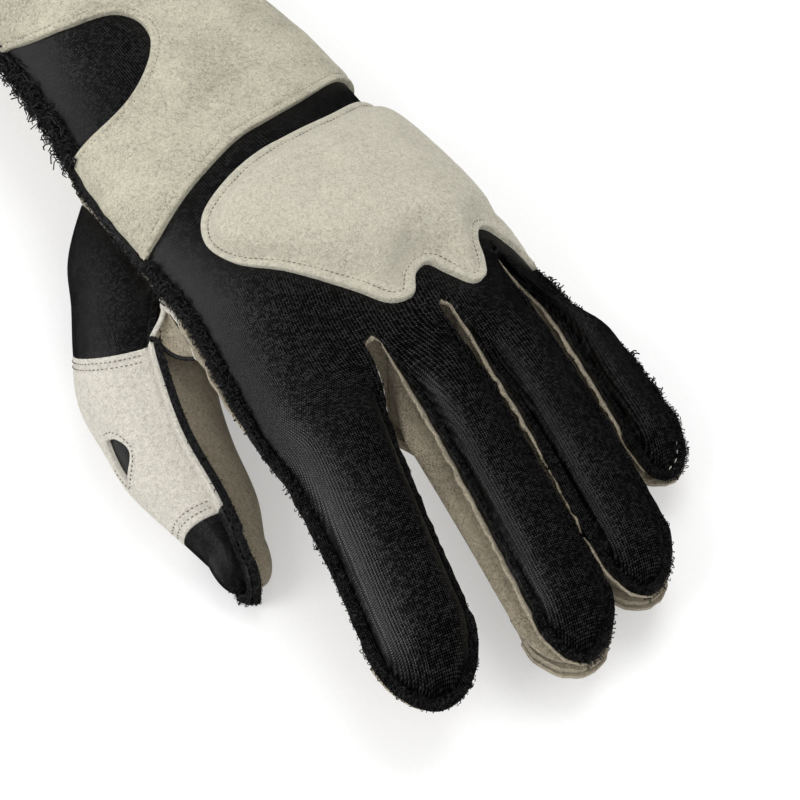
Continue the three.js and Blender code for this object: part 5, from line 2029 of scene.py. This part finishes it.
class GLOVE_OT_stage(bpy.types.Operator):
    """Sets the pale floor, the soft lights and the photograph's camera"""

    bl_idname = "glove.stage"
    bl_label = "Photo Stage"

    def execute(self, context):
        scene = context.scene
        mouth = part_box("cuff_panel")[1][1] / MM
        if abs(mouth - ORIGIN[1] - MOUTH_Y) > 0.5:
            raise RuntimeError("The packed glove isn't where the cloth is drawn")
        scene.view_settings.view_transform = "Standard"
        self.make_floor()
        self.make_lights(scene)
        self.make_camera(scene)
        return {"FINISHED"}

    def make_floor(self):
        """A white floor that glows a little, and that the knit doesn't mirror."""
        corners = [(-1, -1, 0), (1, -1, 0), (1, 1, 0), (-1, 1, 0)]
        mesh = new_mesh("floor", FLOOR["reach"] * np.array(corners), [], [(0, 1, 2, 3)])
        material, nodes = new_material("floor_paper")
        darker, lighter = FLOOR["grey"]
        paper = nodes.ramp(nodes.noise(nodes.place(), 900.0), [(0.3, (darker,) * 3), (0.7, (lighter,) * 3)])
        values = {"Base Color": paper, "Roughness": 0.95, "Specular IOR Level": 0.1}
        values["Emission Strength"] = FLOOR["glow"]
        nodes.add("ShaderNodeOutputMaterial", {"Surface": nodes.out("ShaderNodeBsdfPrincipled", values)})
        mesh.materials.append(material)
        floor = add_object("floor", mesh)
        floor.visible_glossy = False

    def make_lights(self, scene):
        """A white world that the knit doesn't mirror, and the lights."""
        world = bpy.data.worlds.new("studio")
        world.use_nodes = True
        background = world.node_tree.nodes["Background"]
        background.inputs["Color"].default_value = (1, 1, 1, 1)
        background.inputs["Strength"].default_value = WORLD_STRENGTH
        world.cycles_visibility.glossy = False
        scene.world = world
        for name, place, size, watts, gleams in LIGHTS:
            data = bpy.data.lights.new(name, "AREA")
            data.shape = "DISK"
            data.size = size
            data.energy = watts
            light = add_object(name, data)
            light.location = place
            light.visible_diffuse = not gleams
            light.visible_glossy = gleams
            light.rotation_mode = "QUATERNION"
            light.rotation_quaternion = Vector(place).to_track_quat("Z", "Y")

    def make_camera(self, scene):
        azimuth, elevation = math.radians(CAMERA["azimuth"]), math.radians(CAMERA["elevation"])
        distance = CAMERA["distance"]
        level = math.cos(elevation)
        back = Vector((math.sin(azimuth) * level, -math.cos(azimuth) * level, math.sin(elevation)))
        data = bpy.data.cameras.new("camera")
        data.sensor_width = 36
        data.lens = CAMERA["pixels_for_each_mm"] * distance / MM * data.sensor_width / CAMERA["frame_pixels"]
        data.clip_start, data.clip_end = 0.01, 20
        camera = add_object("camera", data)
        camera.location = Vector(ORIGIN * MM) + back * distance
        camera.rotation_mode = "QUATERNION"
        camera.rotation_quaternion = back.to_track_quat("Z", "Y")
        scene.camera = camera


class VIEW3D_PT_glove(bpy.types.Panel):
    """Lists the glove's operators"""

    bl_label = "Racing Glove"
    bl_space_type = "VIEW_3D"
    bl_region_type = "UI"
    bl_category = "Glove"

    def draw(self, context):
        for operator in OPERATORS:
            self.layout.operator(operator.bl_idname)
        for group in (context.scene.glove_sizes, context.scene.glove_colours):
            for name in group.__annotations__:
                self.layout.prop(group, name)


OPERATORS = (
    GLOVE_OT_back,
    GLOVE_OT_palm,
    GLOVE_OT_walls,
    GLOVE_OT_cuff,
    GLOVE_OT_pad,
    GLOVE_OT_thumb,
    GLOVE_OT_stitches,
    GLOVE_OT_pile,
    GLOVE_OT_stage,
)
CLASSES = (GloveSizes, GloveColours, *OPERATORS, VIEW3D_PT_glove)


def register():
    for cls in CLASSES:
        bpy.utils.register_class(cls)
    bpy.types.Scene.glove_sizes = bpy.props.PointerProperty(type=GloveSizes)
    bpy.types.Scene.glove_colours = bpy.props.PointerProperty(type=GloveColours)


def unregister():
    del bpy.types.Scene.glove_colours
    del bpy.types.Scene.glove_sizes
    for cls in reversed(CLASSES):
        bpy.utils.unregister_class(cls)


def main():
    """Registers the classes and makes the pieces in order."""
    register()
    bpy.ops.glove.stage()
    bpy.ops.glove.back()
    bpy.ops.glove.palm()
    bpy.ops.glove.walls()
    bpy.ops.glove.cuff()
    bpy.ops.glove.pad()
    bpy.ops.glove.thumb()
    bpy.ops.glove.stitches()
    bpy.ops.glove.pile()


if __name__ == "__main__":
    main()
